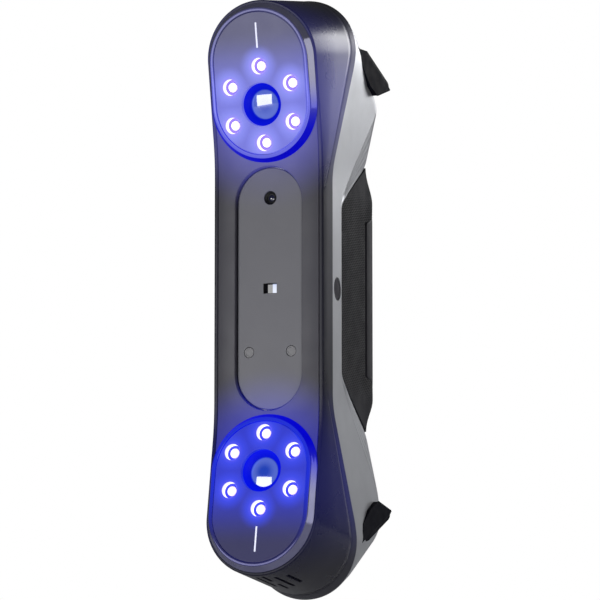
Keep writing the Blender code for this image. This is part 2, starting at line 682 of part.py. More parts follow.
def centre():
    """Central plate with the colour camera, the projector and two small light discs."""
    low, high = PLATE_RADIUS - PLATE_HALF_LENGTH, PLATE_HALF_LENGTH - PLATE_RADIUS
    plate = flat("center_plate", stadium(PLATE_RADIUS - 0.2, low, high), 0.0, 1.5, "plate", plane="XZ")
    boolean(plate, rod("camera_hole", 2.45, (0, -3, CAMERA_HEIGHT), (0, 5, CAMERA_HEIGHT), segments=24))
    boolean(plate, box("projector_hole", (-2.6, -3, -1.8), (2.6, 5, 1.8)))
    for side, x in (("left", -DISC_X), ("right", DISC_X)):
        boolean(plate, rod(f"{side}_disc_hole", 1.8 + 0.15, (x, -3, DISC_HEIGHT), (x, 5, DISC_HEIGHT),
                           segments=20))
        rod(f"{side}_fill_light", 1.65, (x, 0.05, DISC_HEIGHT), (x, 2.2, DISC_HEIGHT), "window", segments=20)
    box("projector_window", (-2.9, 1.85, -2.1), (2.9, 2.45, 2.1), "lens")
    projector = box("projector_module", (-7.0, 6.1, -7.0), (7.0, 22.0, 7.0), "metal")
    boolean(projector, box("projector_snout", (-3.4, 2.75, -2.6), (3.4, 8.0, 2.6)), "UNION")
    bevel(projector, 0.5, 1, 60)
    holder = empty("color_camera_axis", BODY, Matrix.Translation(Vector((0, 0, CAMERA_HEIGHT)) * MM)
                   @ Matrix.Rotation(math.pi / 2, 4, "X"))
    turned("color_camera_barrel", [(0.0, -2.6), (1.5, -2.6), (1.5, -1.2), (1.9, -0.5), (2.15, -0.5),
                                   (2.15, -2.4), (3.9, -2.4), (3.9, -9.0), (0.0, -9.0)],
           "black", holder, 24)
    turned("color_camera_lens", [(0.0, -1.0), (0.7, -1.1), (1.2, -1.45), (1.2, -2.3), (0.0, -2.3)], "lens",
           holder, 28)


def optical_frame():
    """Aluminium bar that holds both pods' cameras in line, bent like the front."""
    rows = [step * 4.0 for step in range(-22, 23)]
    outline = [(front_face(z) + 4.7, z) for z in rows] + [(front_face(z) + 7.2, z) for z in reversed(rows)]
    frame = flat("optical_frame", outline, -13.5, 13.5, "metal", plane="YZ")
    for end, low in (("upper", 34.0), ("lower", -40.0)):
        boolean(frame, box(f"{end}_ears", (-18.0, 3.15, low), (18.0, 5.55, low + 6.0)), "UNION")
    for end, pod in PODS:
        boolean(frame, rod(f"{end}_barrel_way", 9.2, (0, 0, -30), (0, 0, 3), parent=pod, segments=20))
    boolean(frame, box("projector_way", (-4.0, -2, -3.2), (4.0, 14, 3.2)))
    boolean(frame, rod("color_camera_way", 4.3, (0, -2, CAMERA_HEIGHT), (0, 14, CAMERA_HEIGHT), segments=20))
    for number, (x, z) in enumerate(SCREW_PLACES):
        boolean(frame, rod(f"frame_way_{number}", 1.3, (x, 1, z), (x, 9, z), segments=12))
        frame_screw = [(0.0, 1.6), (1.5, 1.5), (2.0, 0.9), (2.0, 0.0), (1.0, 0.0), (1.0, -5.0), (0.0, -5.0)]
        holder = empty(f"frame_screw_axis_{number}", BODY, Matrix.Translation(Vector((x, 5.6 + GAP, z)) * MM)
                       @ Matrix.Rotation(-math.pi / 2, 4, "X"))
        turned(f"frame_screw_{number + 1}", frame_screw, "steel", holder, 12)


def electronics():
    box("main_board", (-13.0, 25.0, -31.0), (13.0, 26.6, 31.0), "board")
    comb = [(-12.0, 31.5)]
    fins = 7
    pitch = 24.0 / (fins - 0.5)
    for fin in range(fins):
        start = -12.0 + fin * pitch
        if fin:
            comb += [(start, 28.9), (start, 37.5)]
        else:
            comb = [(start, 27.0), (start, 37.5)]
        comb += [(start + pitch / 2, 37.5)]
        if fin < fins - 1:
            comb += [(start + pitch / 2, 28.9)]
    comb += [(12.0, 27.0)]
    flat("heat_sink", comb, -24.0, 24.0, "metal")


def side_port():
    """Threaded insert in the waist under a round rubber plug, which lies square to the tapered side."""
    holder = empty("insert_axis", BODY, Matrix.Translation(Vector((0, PORT_DEPTH, 0)) * MM)
                   @ Matrix.Rotation(math.pi / 2, 4, "Y"))
    turned("tripod_insert", ring_profile(4.6, 3.2, 17.0, 9.0, 0.4), "brass", holder, 24)
    plug = [(0.0, 0.0), (3.5, 0.0), (PORT_RADIUS, -0.35), (PORT_RADIUS, -1.9), (2.2, -1.9), (2.2, -6.0),
            (0.0, -6.0)]
    turned("port_plug", plug, "rubber", PORT_FRAME, 28)


# Outlines of the corner feet from the side, as depth and distance from the middle.
UPPER_FOOT = [(31.5, 89.2), (40.8, 89.2), (59.2, 80.7), (60.2, 79.6), (60.2, 78.1), (48.6, 74.2),
              (40.0, 77.4), (33.9, 83.4)]
LOWER_FOOT = [(32.3, 88.6), (41.3, 86.6), (59.2, 78.3), (60.2, 77.2), (60.2, 75.7), (48.4, 72.6),
              (40.0, 76.6), (33.3, 82.5)]


def feet():
    """Four rubber corner bumpers: they carry the scanner when it lies on its back."""
    for end, sign, outline in (("upper", 1, UPPER_FOOT), ("lower", -1, LOWER_FOOT)):
        for side, low, high in (("right", 15.2, 20.1), ("left", -20.1, -15.2)):
            points = [(y, sign * z) for y, z in outline]
            foot = flat(f"{end}_{side}_foot", points, low, high, "rubber", plane="YZ")
            boolean(foot, CLEARANCE)


def shell_screws():
    for number, (x, z) in enumerate(SHELL_SCREW_PLACES):
        depth = shell_rear(z) - 1.1 + GAP
        profile = [(0.0, 1.3), (2.0, 1.15), (2.5, 0.6), (2.5, 0.0), (1.3, 0.0), (1.3, -9.0), (0.0, -9.0)]
        holder = empty(f"shell_screw_axis_{number}", BODY, Matrix.Translation(Vector((x, depth, z)) * MM)
                       @ Matrix.Rotation(-math.pi / 2, 4, "X"))
        screw = turned(f"shell_screw_{number + 1}", profile, "steel", holder, 12)
        boolean(screw, rod(f"shell_screw_recess_{number}", 1.1, (0, 0, 0.5), (0, 0, 3), parent=holder,
                           segments=6))


CLEARANCE = shell_clearance()
front_housing()
front_fascia()
rear_shell()
usb_socket()
handle()
controls()
pods()
centre()
optical_frame()
electronics()
side_port()
feet()
shell_screws()
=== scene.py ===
import json
import math

import bmesh
import bpy
from mathutils import Matrix, Vector


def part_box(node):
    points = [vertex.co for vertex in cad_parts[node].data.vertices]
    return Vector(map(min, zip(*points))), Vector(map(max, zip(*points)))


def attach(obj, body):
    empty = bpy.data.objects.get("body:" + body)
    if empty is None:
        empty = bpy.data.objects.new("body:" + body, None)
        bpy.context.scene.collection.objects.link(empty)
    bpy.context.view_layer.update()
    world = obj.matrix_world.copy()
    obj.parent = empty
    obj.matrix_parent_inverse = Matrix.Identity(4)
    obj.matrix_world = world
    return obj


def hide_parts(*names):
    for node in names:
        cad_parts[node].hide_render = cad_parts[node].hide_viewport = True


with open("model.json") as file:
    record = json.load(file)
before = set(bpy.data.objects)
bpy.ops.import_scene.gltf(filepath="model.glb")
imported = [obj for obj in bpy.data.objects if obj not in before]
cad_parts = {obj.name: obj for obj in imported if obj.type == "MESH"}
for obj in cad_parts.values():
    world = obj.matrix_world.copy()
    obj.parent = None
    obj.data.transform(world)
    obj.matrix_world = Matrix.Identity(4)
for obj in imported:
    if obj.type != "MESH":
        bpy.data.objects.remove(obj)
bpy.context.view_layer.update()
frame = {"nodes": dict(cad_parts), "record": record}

MM = 0.001
GAP = 0.3

# The surfaces of the CAD source, in millimetres from the middle of the central plate's face.
plate_low, plate_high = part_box("center_plate")
ORIGIN = Vector((0.0, plate_low.y, (plate_low.z + plate_high.z) / 2))
BODY = Matrix.Translation(ORIGIN)

HALF_WIDTH = 21.0
BAND_HALF_WIDTH = 20.7
EDGE_HALF_WIDTH = 21.0
SIDE_TAPER = 0.12
WAIST_DEPTH = -1.6
TOE_IN = math.radians(9.6)
TOE_START = 46.5
KNEE_DEPTH = 29.5
HOUSING_CENTRE = 85.85
HOUSING_LEAN = 0.167
UPPER_END = (86.15, 0.22, 0.74)
LOWER_END = (87.0, 0.36, 0.4)
REAR_DIP_DEPTH = 48.0
REAR_DIP_HEIGHT = 48.0
REAR_SLOPE = 0.32
REAR_LEVEL_HEIGHT = 77.0
GRIP_DEPTH = 17.0
GRIP_HALF_HEIGHT = 30.5
GRIP_CORNER = 2.0
GRIP_SLOPE = (REAR_DIP_DEPTH - GRIP_DEPTH) / (REAR_DIP_HEIGHT - GRIP_HALF_HEIGHT)
GRIP_HALF_WIDTH = 19.5
GRIP_TAPER = 0.128
GRIP_REAR_DEPTH = 46.7
HANDLE_REAR_DEPTH = 59.0
SHOULDER_LENGTH = 12.5
SKIN_THICKNESS = 1.6
GRIP_REACH = 47.6
COVER_REACH = 35.4
LENS_HEIGHT = 63.7
LENS_FACE_DEPTH = -7.43
POD_RADIUS = 18.75
POD_STRAIGHT = 15.0
BEZEL_FOOT_RADIUS = 20.4
LENS_RADIUS = 5.4
LED_CIRCLE_RADIUS = 13.4
LED_RADIUS = 2.85
LED_ANGLES = (90, 30, -30, -90, -150, 150)
INDEX_LINE = (19.8, 28.6)
PLATE_RADIUS = 12.7
PLATE_HALF_LENGTH = 42.6
CAMERA_HEIGHT = 31.8
DISC_X = 8.1
DISC_HEIGHT = -22.2
BUTTONS = (("plus", 15.0, 3.9), ("scan", 0.0, 5.2), ("minus", -15.0, 3.9))
PANEL_RADIUS = 7.4
PANEL_HALF_LENGTH = 29.0
LAMP_HEIGHT = 25.0
LAMP_HOLE_RADIUS = 1.5
PORT_DEPTH = 12.0
PORT_RADIUS = 3.9
RIM_WIDTH = 1.5
PANEL_GAP = 0.14
CASE_WALL = 2.6
CORNER_ROUND = 0.5
VENTS = ((8.0, -3.1, 8.8), (4.5, -5.4, 10.3), (1.2, -8.8, 0.0), (1.2, 4.2, 12.4), (-1.6, -7.4, 8.8))
POD_OUTLINE = (POD_RADIUS, 0.0, POD_STRAIGHT)   # radius, and the heights of both round ends' centres
PLATE_OUTLINE = (PLATE_RADIUS, PLATE_RADIUS - PLATE_HALF_LENGTH, PLATE_HALF_LENGTH - PLATE_RADIUS)
PANEL_OUTLINE = (PANEL_RADIUS, PANEL_RADIUS - PANEL_HALF_LENGTH, PANEL_HALF_LENGTH - PANEL_RADIUS)
SOCKET_HALF_LENGTH = 3.2
SCREW_PLACES = tuple((x, z) for z in (60.0, -60.0) for x in (-10.5, 10.5))
SOCKET_DEPTH = 43.0
SIDE_STEPS = 44
ARC_STEPS = 40

POD = (Matrix.Translation(Vector((0.0, LENS_FACE_DEPTH, LENS_HEIGHT)) * MM)
       @ Matrix.Rotation(math.pi / 2 + TOE_IN, 4, "X"))
PODS = (("upper", BODY @ POD), ("lower", BODY @ Matrix.Rotation(math.pi, 4, "Y") @ POD))


def facing(x, depth, z, turn):
    """Frame with its origin there and its local +Z turned from straight up."""
    return BODY @ Matrix.Translation(Vector((x, depth, z)) * MM) @ turn


BACKWARD = Matrix.Rotation(-math.pi / 2, 4, "X")
FORWARD = Matrix.Rotation(math.pi / 2, 4, "X")


def on_back(z):
    """Frame on the handle's back, its local +Z out of it."""
    return facing(0, HANDLE_REAR_DEPTH, z, BACKWARD)


def on_plate(x, z):
    """Frame on the central plate's face, its local +Z out of it and its local +Y up."""
    return facing(x, 0, z, FORWARD)


def in_pod(pod, x, y):
    return pod @ Matrix.Translation(Vector((x, y, 0.0)) * MM)


# ---- materials


BLACK = (0.0, 0.0, 0.0)


def srgb(*channels):
    """Linear colour of three channels from 0 to 255."""
    return tuple(((c / 255 + 0.055) / 1.055) ** 2.4 if c > 10 else c / 255 / 12.92 for c in channels)


class Look:
    """A procedural material, with short calls for the nodes that the looks below share."""

    def __init__(self, name, colour, roughness, metallic=0.0, **sockets):
        self.material = bpy.data.materials.new(name)
        self.material.use_nodes = True
        self.nodes = self.material.node_tree.nodes
        self.links = self.material.node_tree.links
        self.shader = self.nodes["Principled BSDF"]
        self.set("Base Color", (*colour, 1.0))
        self.set("Roughness", roughness)
        self.set("Metallic", metallic)
        for socket, value in sockets.items():
            self.set(socket.replace("_", " "), value)
        self.colour, self.roughness = colour, roughness
        self.place = self.nodes.new("ShaderNodeTexCoord").outputs["Object"]
        self.height = None

    def set(self, socket, value):
        self.shader.inputs[socket].default_value = value

    def link(self, value, socket):
        if isinstance(value, bpy.types.NodeSocket):
            self.links.new(value, socket)
        elif isinstance(value, tuple) and len(value) == 3 and socket.type == "RGBA":
            socket.default_value = (*value, 1.0)
        else:
            socket.default_value = value

    def math(self, operation, *values):
        node = self.nodes.new("ShaderNodeMath")
        node.operation = operation
        for value, socket in zip(values, node.inputs):
            self.link(value, socket)
        return node.outputs[0]

    def hypot(self, x, y):
        return self.math("SQRT", self.math("ADD", self.math("POWER", x, 2.0), self.math("POWER", y, 2.0)))

    def vector(self, operation, *values):
        node = self.nodes.new("ShaderNodeVectorMath")
        node.operation = operation
        for value, socket in zip(values, node.inputs):
            self.link(value, socket)
        return node.outputs["Vector"]

    def axes(self):
        node = self.nodes.new("ShaderNodeSeparateXYZ")
        self.link(self.place, node.inputs[0])
        return node.outputs

    def span(self, value, low, high, first=0.0, last=1.0):
        """Runs softly from first to last while the value runs from low to high."""
        node = self.nodes.new("ShaderNodeMapRange")
        node.interpolation_type = "SMOOTHSTEP"
        for socket, setting in zip(node.inputs[:5], (value, low, high, first, last)):
            self.link(setting, socket)
        return node.outputs[0]

    def mix(self, share, first, last, blend="MIX"):
        node = self.nodes.new("ShaderNodeMix")
        node.data_type, node.blend_type = "RGBA", blend
        self.link(share, node.inputs["Factor"])
        self.link(first, node.inputs[6])
        self.link(last, node.inputs[7])
        return node.outputs[2]

    def noise(self, pitch, detail=2.0, stretch=(1, 1, 1)):
        """Noise from 0 to 1 whose blotches are about that many millimetres across."""
        node = self.nodes.new("ShaderNodeTexNoise")
        self.link(self.vector("MULTIPLY", self.place, Vector(stretch) / (pitch * MM)), node.inputs["Vector"])
        node.inputs["Scale"].default_value = 1.0
        node.inputs["Detail"].default_value = detail
        return node.outputs["Fac"]

    def tint(self, first, last, share):
        self.colour = self.mix(share, first, last)
        return self

    def vary(self, amount, pitch, stretch=(1, 1, 1)):
        """Lighter and darker blotches."""
        share = self.noise(pitch, 3.0, stretch)
        darker = self.mix(1.0, self.colour, (1 - amount,) * 3, "MULTIPLY")
        lighter = self.mix(1.0, self.colour, (1 + amount,) * 3, "MULTIPLY")
        self.colour = self.mix(self.span(share, 0.3, 0.7), darker, lighter)
        return self

    def smudge(self, amount, pitch):
        """Uneven gloss."""
        self.roughness = self.math("ADD", self.roughness,
                                   self.span(self.noise(pitch, 4.0), 0.3, 0.7, -amount, amount))
        return self

    def raise_by(self, height, depth_mm):
        """Adds a height from 0 to 1 to the bump, worth that many millimetres."""
        scaled = self.math("MULTIPLY", height, depth_mm * MM)
        self.height = scaled if self.height is None else self.math("ADD", self.height, scaled)
        return self

    def grain(self, depth_mm, pitch, stretch=(1, 1, 1)):
        return self.raise_by(self.noise(pitch, 2.0, stretch), depth_mm)

    def glow(self, colour, strength):
        self.link(colour, self.shader.inputs["Emission Color"])
        self.set("Emission Strength", strength)
        return self

    def done(self):
        self.link(self.colour, self.shader.inputs["Base Color"])
        self.link(self.roughness, self.shader.inputs["Roughness"])
        if self.height is not None:
            bump = self.nodes.new("ShaderNodeBump")
            bump.inputs["Strength"].default_value = 1.0
            bump.inputs["Distance"].default_value = 1.0
            self.link(self.height, bump.inputs["Height"])
            self.link(bump.outputs[0], self.shader.inputs["Normal"])
        return self.material


def pod_light(look, upper_strength, lower_strength, lying=False):
    """Blue light of the light rings on the surfaces around the pods, by distance from the pods' middles.

    A lying piece has its own Y along the scanner instead of its own Z.
    """
    x, y, z = look.axes()
    height, middle = (y, 0.0) if lying else (z, ORIGIN.z)
    lights = []
    for sign, near, far, strength, colour in ((1, 14, 40, upper_strength, srgb(62, 62, 150)),
                                              (-1, 17, 38, lower_strength, srgb(4, 14, 150))):
        centre = middle + sign * (LENS_HEIGHT + 1) * MM
        distance = look.hypot(x, look.math("SUBTRACT", height, centre))
        lights.append(look.mix(look.span(distance, near * MM, far * MM, strength, 0.0), BLACK, colour))
    return look.glow(look.mix(1.0, *lights, "ADD"), 1.0)


def finish(name, colour, roughness, metallic, blotches, gloss, grit, **sockets):
    """A plain finish. Its blotches, uneven gloss and grit are each (amount, size in millimetres)."""
    look = Look(name, srgb(*colour), roughness, metallic, **sockets)
    return look.vary(*blotches).smudge(*gloss).grain(*grit)


def rubber(name, colour):
    return finish(name, colour, 0.7, 0.0, (0.12, 5.0), (0.06, 4.0), (0.02, 0.25),
                  Specular_IOR_Level=0.06).done()


def metal(name, colour, roughness, *grit):
    return finish(name, colour, roughness, 1.0, (0.06, 6.0), (0.06, 3.0), grit).done()


def lit(name, colour, roughness, blotches, pitch, tones, strength, **sockets):
    """A surface that gives off light of two tones in soft blotches."""
    look = Look(name, srgb(*colour), roughness, **sockets).vary(*blotches)
    first, last = tones
    return look.glow(look.mix(look.noise(pitch), srgb(*first), srgb(*last)), strength).done()


def grip_look():
    """Rubber with a fine diamond weave: two sets of crossing ribs, 1.26 mm and 0.84 mm apart."""
    look = Look("grip_weave", srgb(30, 30, 35), 0.78, 0.0, Specular_IOR_Level=0.2)
    _, y, z = look.axes()
    waves = []
    for along_y, along_z in ((370, 700), (-195, 1180)):
        phase = look.math("ADD", look.math("MULTIPLY", y, along_y * 2 * math.pi),
                          look.math("MULTIPLY", z, along_z * 2 * math.pi))
        waves.append(look.math("SINE", phase))
    both = look.math("MULTIPLY_ADD", look.math("ADD", *waves), 0.25, 0.5)
    plain = look.span(look.math("ABSOLUTE", look.math("SUBTRACT", z, ORIGIN.z)), 27 * MM, 41 * MM)
    both = look.math("ADD", look.math("MULTIPLY", both, look.math("SUBTRACT", 1.0, plain)),
                     look.math("MULTIPLY", plain, 0.75))
    # Painted shade: the weave's hollows are painted near black and its ribs lighter, following the weave's
    # relief.
    look.tint(srgb(3, 3, 6), srgb(44, 44, 50), look.span(both, 0.3, 0.75))
    look.vary(0.08, 15.0).smudge(0.05, 6.0).raise_by(both, 0.15).grain(0.01, 0.12)
    return look.done()


def emitter_distance(look):
    """Distance from the nearest of the six emitters, in the pod's own frame, in metres."""
    x, y, _ = look.axes()
    radius = look.hypot(x, y)
    half_step = math.pi / len(LED_ANGLES)
    turn = look.math("PINGPONG", look.math("SUBTRACT", look.math("ARCTAN2", y, x), half_step), half_step)
    reach = LED_CIRCLE_RADIUS * MM
    square = look.math("ADD", look.math("POWER", radius, 2.0), reach ** 2)
    cross = look.math("MULTIPLY", look.math("MULTIPLY", radius, look.math("COSINE", turn)), 2 * reach)
    return look.math("SQRT", look.math("MAXIMUM", look.math("SUBTRACT", square, cross), 1e-9))


def face_light(look, y, inner, outer):
    """Light of a pod's face: it fades from the ring of emitters towards the pod's outer end."""
    return look.mix(look.span(y, 2 * MM, 27 * MM), srgb(*inner), srgb(*outer))


def window_look(end):
    """Tinted window lit from within: strongest round the emitters, white in the mouths of their holes."""
    upper = end == "upper"
    # The glass's tint is lighter on the upper window and darker on the lower one: painted light and shade on
    # the same glass.
    look = Look(f"{end}_window_tint_and_painted_light", srgb(*((92, 92, 104) if upper else (52, 51, 62))), 0.34, 0.0,
                Specular_IOR_Level=0.35)
    _, y, z = look.axes()
    distance = emitter_distance(look)
    far = face_light(look, y, *(((98, 102, 222), (64, 64, 104)) if upper
                                else ((24, 44, 214), (34, 34, 84))))
    near = srgb(*((128, 134, 252) if upper else (44, 66, 252)))
    light = look.mix(look.span(distance, 2.6 * MM, 8.0 * MM, 1.0, 0.0), far, near)
    rim = look.math("MULTIPLY", look.span(distance, 2.7 * MM, 4.4 * MM, 1.0, 0.0), 0.6)
    light = look.mix(rim, light, srgb(*((150, 130, 255) if upper else (84, 84, 255))))
    wall = look.math("MULTIPLY", look.span(distance, 2.95 * MM, 3.05 * MM, 1.0, 0.0),
                     look.span(z, -0.45 * MM, -0.3 * MM, 1.0, 0.0))
    light = look.mix(wall, light, (1.1, 1.05, 1.2))
    look.vary(0.04, 7.0).smudge(0.03, 10.0).grain(0.002, 0.4)
    return look.glow(light, 0.85).done()


def bezel_look(end):
    """Glossy flared ring: its face glows like the window, and the inner end of its wall glows deep blue, both
    painted light.
    """
    upper = end == "upper"
    look = Look(f"{end}_bezel_gloss", srgb(150, 150, 172), 0.09, 0.7, Specular_IOR_Level=0.4)
    _, y, z = look.axes()
    outer = look.span(y, -11 * MM, 10 * MM)
    # Painted light: the metal's colour turns deep blue towards the wall's inner end, for the rings' blue
    # light, and is a little lighter on the upper pod.
    look.tint(srgb(20, 20, 150), srgb(*((160, 160, 182) if upper else (146, 146, 178))), outer)
    wall = look.mix(outer, srgb(*((0, 0, 190) if upper else (0, 0, 205))), srgb(4, 4, 26))
    front = face_light(look, y, *(((104, 108, 232), (70, 70, 112)) if upper
                                  else ((26, 46, 224), (42, 42, 92))))
    rim = look.span(z, -0.3 * MM, -0.12 * MM)
    look.colour = look.mix(rim, look.colour, srgb(58, 58, 80))
    look.vary(0.05, 6.0).smudge(0.02, 8.0).grain(0.001, 0.5)
    return look.glow(look.mix(rim, wall, front), 0.85).done()


def well_look():
    """White wall of an emitter's recess, flooded with light."""
    look = Look("light_well", srgb(235, 232, 255), 0.5)
    _, _, z = look.axes()
    look.vary(0.05, 1.0)
    look.glow(look.mix(look.span(z, -2.7 * MM, -2.3 * MM), srgb(150, 130, 255), (1.0, 0.98, 1.0)), 1.0)
    return look.done()


# Floor of an emitter's recess: painted light, it glows in blotches with the emitter's colour though it is no
# lamp.
def floor_of_well_look(end):
    colour = (112, 90, 250) if end == "upper" else (20, 30, 240)
    look = Look(f"{end}_well_floor", srgb(*colour), 0.4)
    look.vary(0.1, 2.0).grain(0.004, 0.5)
    look.glow(look.mix(look.noise(2.0), srgb(*colour), srgb(*(min(255, c + 20) for c in colour))), 0.8)
    return look.done()


def emitter_look():
    """Lit dome: white, with a violet edge."""
    look = Look("emitter", srgb(200, 190, 255), 0.3)
    x, y, _ = look.axes()
    look.vary(0.04, 1.0)
    edge = look.span(look.hypot(x, y), 1.15 * MM, 1.7 * MM)
    look.glow(look.mix(edge, (1.0, 0.96, 1.0), srgb(170, 140, 255)), 1.1)
    return look.done()


def port_look(end):
    """Inside of the lens port, deep blue, with a painted blue glow that grows towards its mouth."""
    look = Look(f"{end}_port_wall", srgb(2, 6, 90), 0.5, 0.0, Specular_IOR_Level=0.1)
    _, _, z = look.axes()
    share = look.span(z, -6 * MM, -1 * MM)
    look.vary(0.1, 3.0).grain(0.003, 0.4)
    look.glow(look.mix(share, srgb(0, 8, 150), srgb(0, 14, 215 if end == "upper" else 235)), 0.95)
    return look.done()


def lens_look(end):
    """Coated glass over a blue glow that deepens towards its rim."""
    look = Look(f"{end}_lens_glass", srgb(8, 20, 90), 0.12, Coat_Weight=1.0, Coat_Roughness=0.015,
                Coat_IOR=2.4)
    x, y, _ = look.axes()
    radius = look.hypot(x, y)
    light = look.mix(look.span(radius, 1.0 * MM, 4.4 * MM), srgb(20, 70, 205), srgb(96, 122, 232))
    light = look.mix(look.span(radius, 4.7 * MM, 5.3 * MM, 0.0, 0.9), light, srgb(4, 40, 205))
    look.vary(0.03, 2.0)
    return look.glow(light, 0.8).done()


def projector_look():
    """Projector glass: black on the left, the projector's lit exit, pale blue, on the right."""
    look = Look("projector_glass", srgb(10, 10, 14), 0.06, 0.0, Coat_Weight=1.0, Coat_Roughness=0.03)
    x, _, z = look.axes()
    height = look.span(z, ORIGIN.z - 1.6 * MM, ORIGIN.z + 1.6 * MM)
    tone = look.mix(height, srgb(205, 214, 236), srgb(176, 190, 228))
    look.vary(0.05, 1.5)
    look.glow(look.mix(look.span(x, 0.0, 0.35 * MM), (0.0, 0.0, 0.002), tone), 0.85)
    return look.done()


def disc_look():
    look = Look("disc_window", srgb(88, 87, 94), 0.3, 0.0, Coat_Weight=0.3, Coat_Roughness=0.15)
    look.vary(0.08, 1.2).grain(0.004, 0.3)
    return look.done()


def board_look():
    """Green solder mask with darker tracks under it."""
    look = Look("circuit_board", srgb(20, 74, 52), 0.42)
    cells = look.nodes.new("ShaderNodeTexVoronoi")
    cells.distance = "MANHATTAN"
    cells.feature = "DISTANCE_TO_EDGE"
    look.link(look.vector("MULTIPLY", look.place, Vector((1, 1, 1)) * 400), cells.inputs["Vector"])
    tracks = look.span(cells.outputs["Distance"], 0.02, 0.08)
    look.tint(srgb(44, 110, 70), srgb(16, 62, 44), tracks)
    look.vary(0.1, 5.0).smudge(0.06, 4.0).raise_by(tracks, 0.02)
    return look.done()


housing = finish("housing_paint", (34, 34, 48), 0.28, 0.0, (0.04, 9.0), (0.015, 24.0), (0.006, 0.25),
                 Specular_IOR_Level=0.22)
fascia = finish("fascia_paint", (70, 69, 78), 0.42, 0.1, (0.04, 11.0), (0.04, 12.0), (0.006, 0.25),
                Coat_Weight=0.1, Coat_Roughness=0.3)
# The band is the silver shell's own metal painted darker: painted shade for the dimmer reflection its turned
# face catches.
band = finish("band_painted_shade", (72, 72, 80), 0.4, 0.45, (0.04, 8.0), (0.04, 12.0), (0.008, 0.22))
plate = finish("plate_finish", (106, 106, 113), 0.4, 0.12, (0.015, 16.0), (0.012, 14.0), (0.004, 0.2),
               Coat_Weight=0.12, Coat_Roughness=0.3)
LOOKS = {
    "housing": pod_light(housing, 0.75, 0.22).done(), "fascia": pod_light(fascia, 1.15, 1.0).done(),
    "band": pod_light(band, 0.45, 0.3).done(), "plate": pod_light(plate, 0.35, 0.78, lying=True).done(),
    "silver": finish("silver_paint", (182, 184, 189), 0.42, 0.7, (0.035, 13.0), (0.05, 16.0),
                     (0.012, 0.22)).done(),
    "cover": finish("cover_plastic", (44, 43, 50), 0.6, 0.0, (0.05, 12.0), (0.05, 9.0), (0.012, 0.2),
                    Specular_IOR_Level=0.25).done(),
    "black": finish("black_moulding", (14, 14, 18), 0.5, 0.0, (0.15, 4.0), (0.08, 3.0), (0.01, 0.3)).done(),
    "window": finish("panel_gloss", (22, 22, 28), 0.14, 0.0, (0.1, 8.0), (0.05, 7.0), (0.001, 0.6),
                     Coat_Weight=0.5, Coat_Roughness=0.05).done(),
    "rubber": rubber("rubber", (13, 14, 26)), "button": rubber("button_rubber", (52, 52, 58)),
    "plug": rubber("plug_rubber", (76, 75, 81)), "grip": grip_look(), "bezel": bezel_look("upper"),
    "lens": lit("small_lens_glass", (10, 12, 30), 0.05, (0.1, 1.0), 2.0, ((8, 8, 30), (16, 16, 52)), 0.7,
                Coat_Weight=1.0, Coat_Roughness=0.02, Coat_IOR=2.2),
    "led": lit("index_white", (225, 226, 240), 0.4, (0.03, 2.0), 3.0, ((205, 208, 235), (222, 224, 244)),
               0.75),
    "status": lit("status_lamp", (150, 170, 240), 0.25, (0.05, 1.0), 1.5, ((120, 160, 250), (160, 190, 255)),
                  0.8),
    "disc": disc_look(), "projector": projector_look(), "well": well_look(), "emitter": emitter_look(),
    "board": board_look(),
    "metal": metal("blasted_aluminium", (190, 191, 196), 0.4, 0.01, 0.3),
    "steel": metal("turned_steel", (176, 177, 182), 0.28, 0.004, 0.5, (6, 1, 1)),
    "brass": metal("turned_brass", (204, 170, 98), 0.3, 0.004, 0.5, (1, 6, 1)),
}
for end in ("upper", "lower"):
    LOOKS[f"{end}_window"] = window_look(end)
    LOOKS[f"{end}_bezel"] = bezel_look(end)
    LOOKS[f"{end}_well_floor"] = floor_of_well_look(end)
    LOOKS[f"{end}_port"] = port_look(end)
    LOOKS[f"{end}_lens"] = lens_look(end)

slot_of = {part["node"]: part["material_slot"] for part in frame["record"]["subparts"]}
for name, node in frame["nodes"].items():
    look = LOOKS[slot_of[name]]
    if not node.material_slots:
        node.data.materials.append(look)
    for slot in node.material_slots:
        slot.material = look

# ---- mesh helpers


def add(name, shape, looks, matrix=BODY, body="scanner", slot=None, stands_for=None, sharp=32):
    """Makes a piece of a closed bmesh in millimetres. Its looks are names from LOOKS, by material index.

    Its slot argument is not used.
    """
    bmesh.ops.remove_doubles(shape, verts=shape.verts, dist=1e-4)
    bmesh.ops.recalc_face_normals(shape, faces=shape.faces)
    if shape.calc_volume(signed=True) < 0:
        bmesh.ops.reverse_faces(shape, faces=shape.faces)
    shape.transform(Matrix.Scale(MM, 4))
    mesh = bpy.data.meshes.new(name)
    shape.to_mesh(mesh)
    shape.free()
    for look in looks if isinstance(looks, tuple) else (looks,):
        mesh.materials.append(LOOKS[look])
    piece = bpy.data.objects.new(name, mesh)
    bpy.context.scene.collection.objects.link(piece)
    piece.matrix_world = matrix
    if body:
        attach(piece, body)
        if stands_for:
            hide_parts(stands_for)
        smooth(piece, sharp)
    return piece


def smooth(piece, sharp=32, plane=False):
    """Smooth shading up to that angle. On a piece with a large plane, the plane's own normal counts most."""
    piece.data.shade_smooth()
    piece.data.set_sharp_from_angle(angle=math.radians(sharp))
    if plane:
        mod = piece.modifiers.new("normals", "WEIGHTED_NORMAL")
        mod.weight, mod.keep_sharp = 100, True


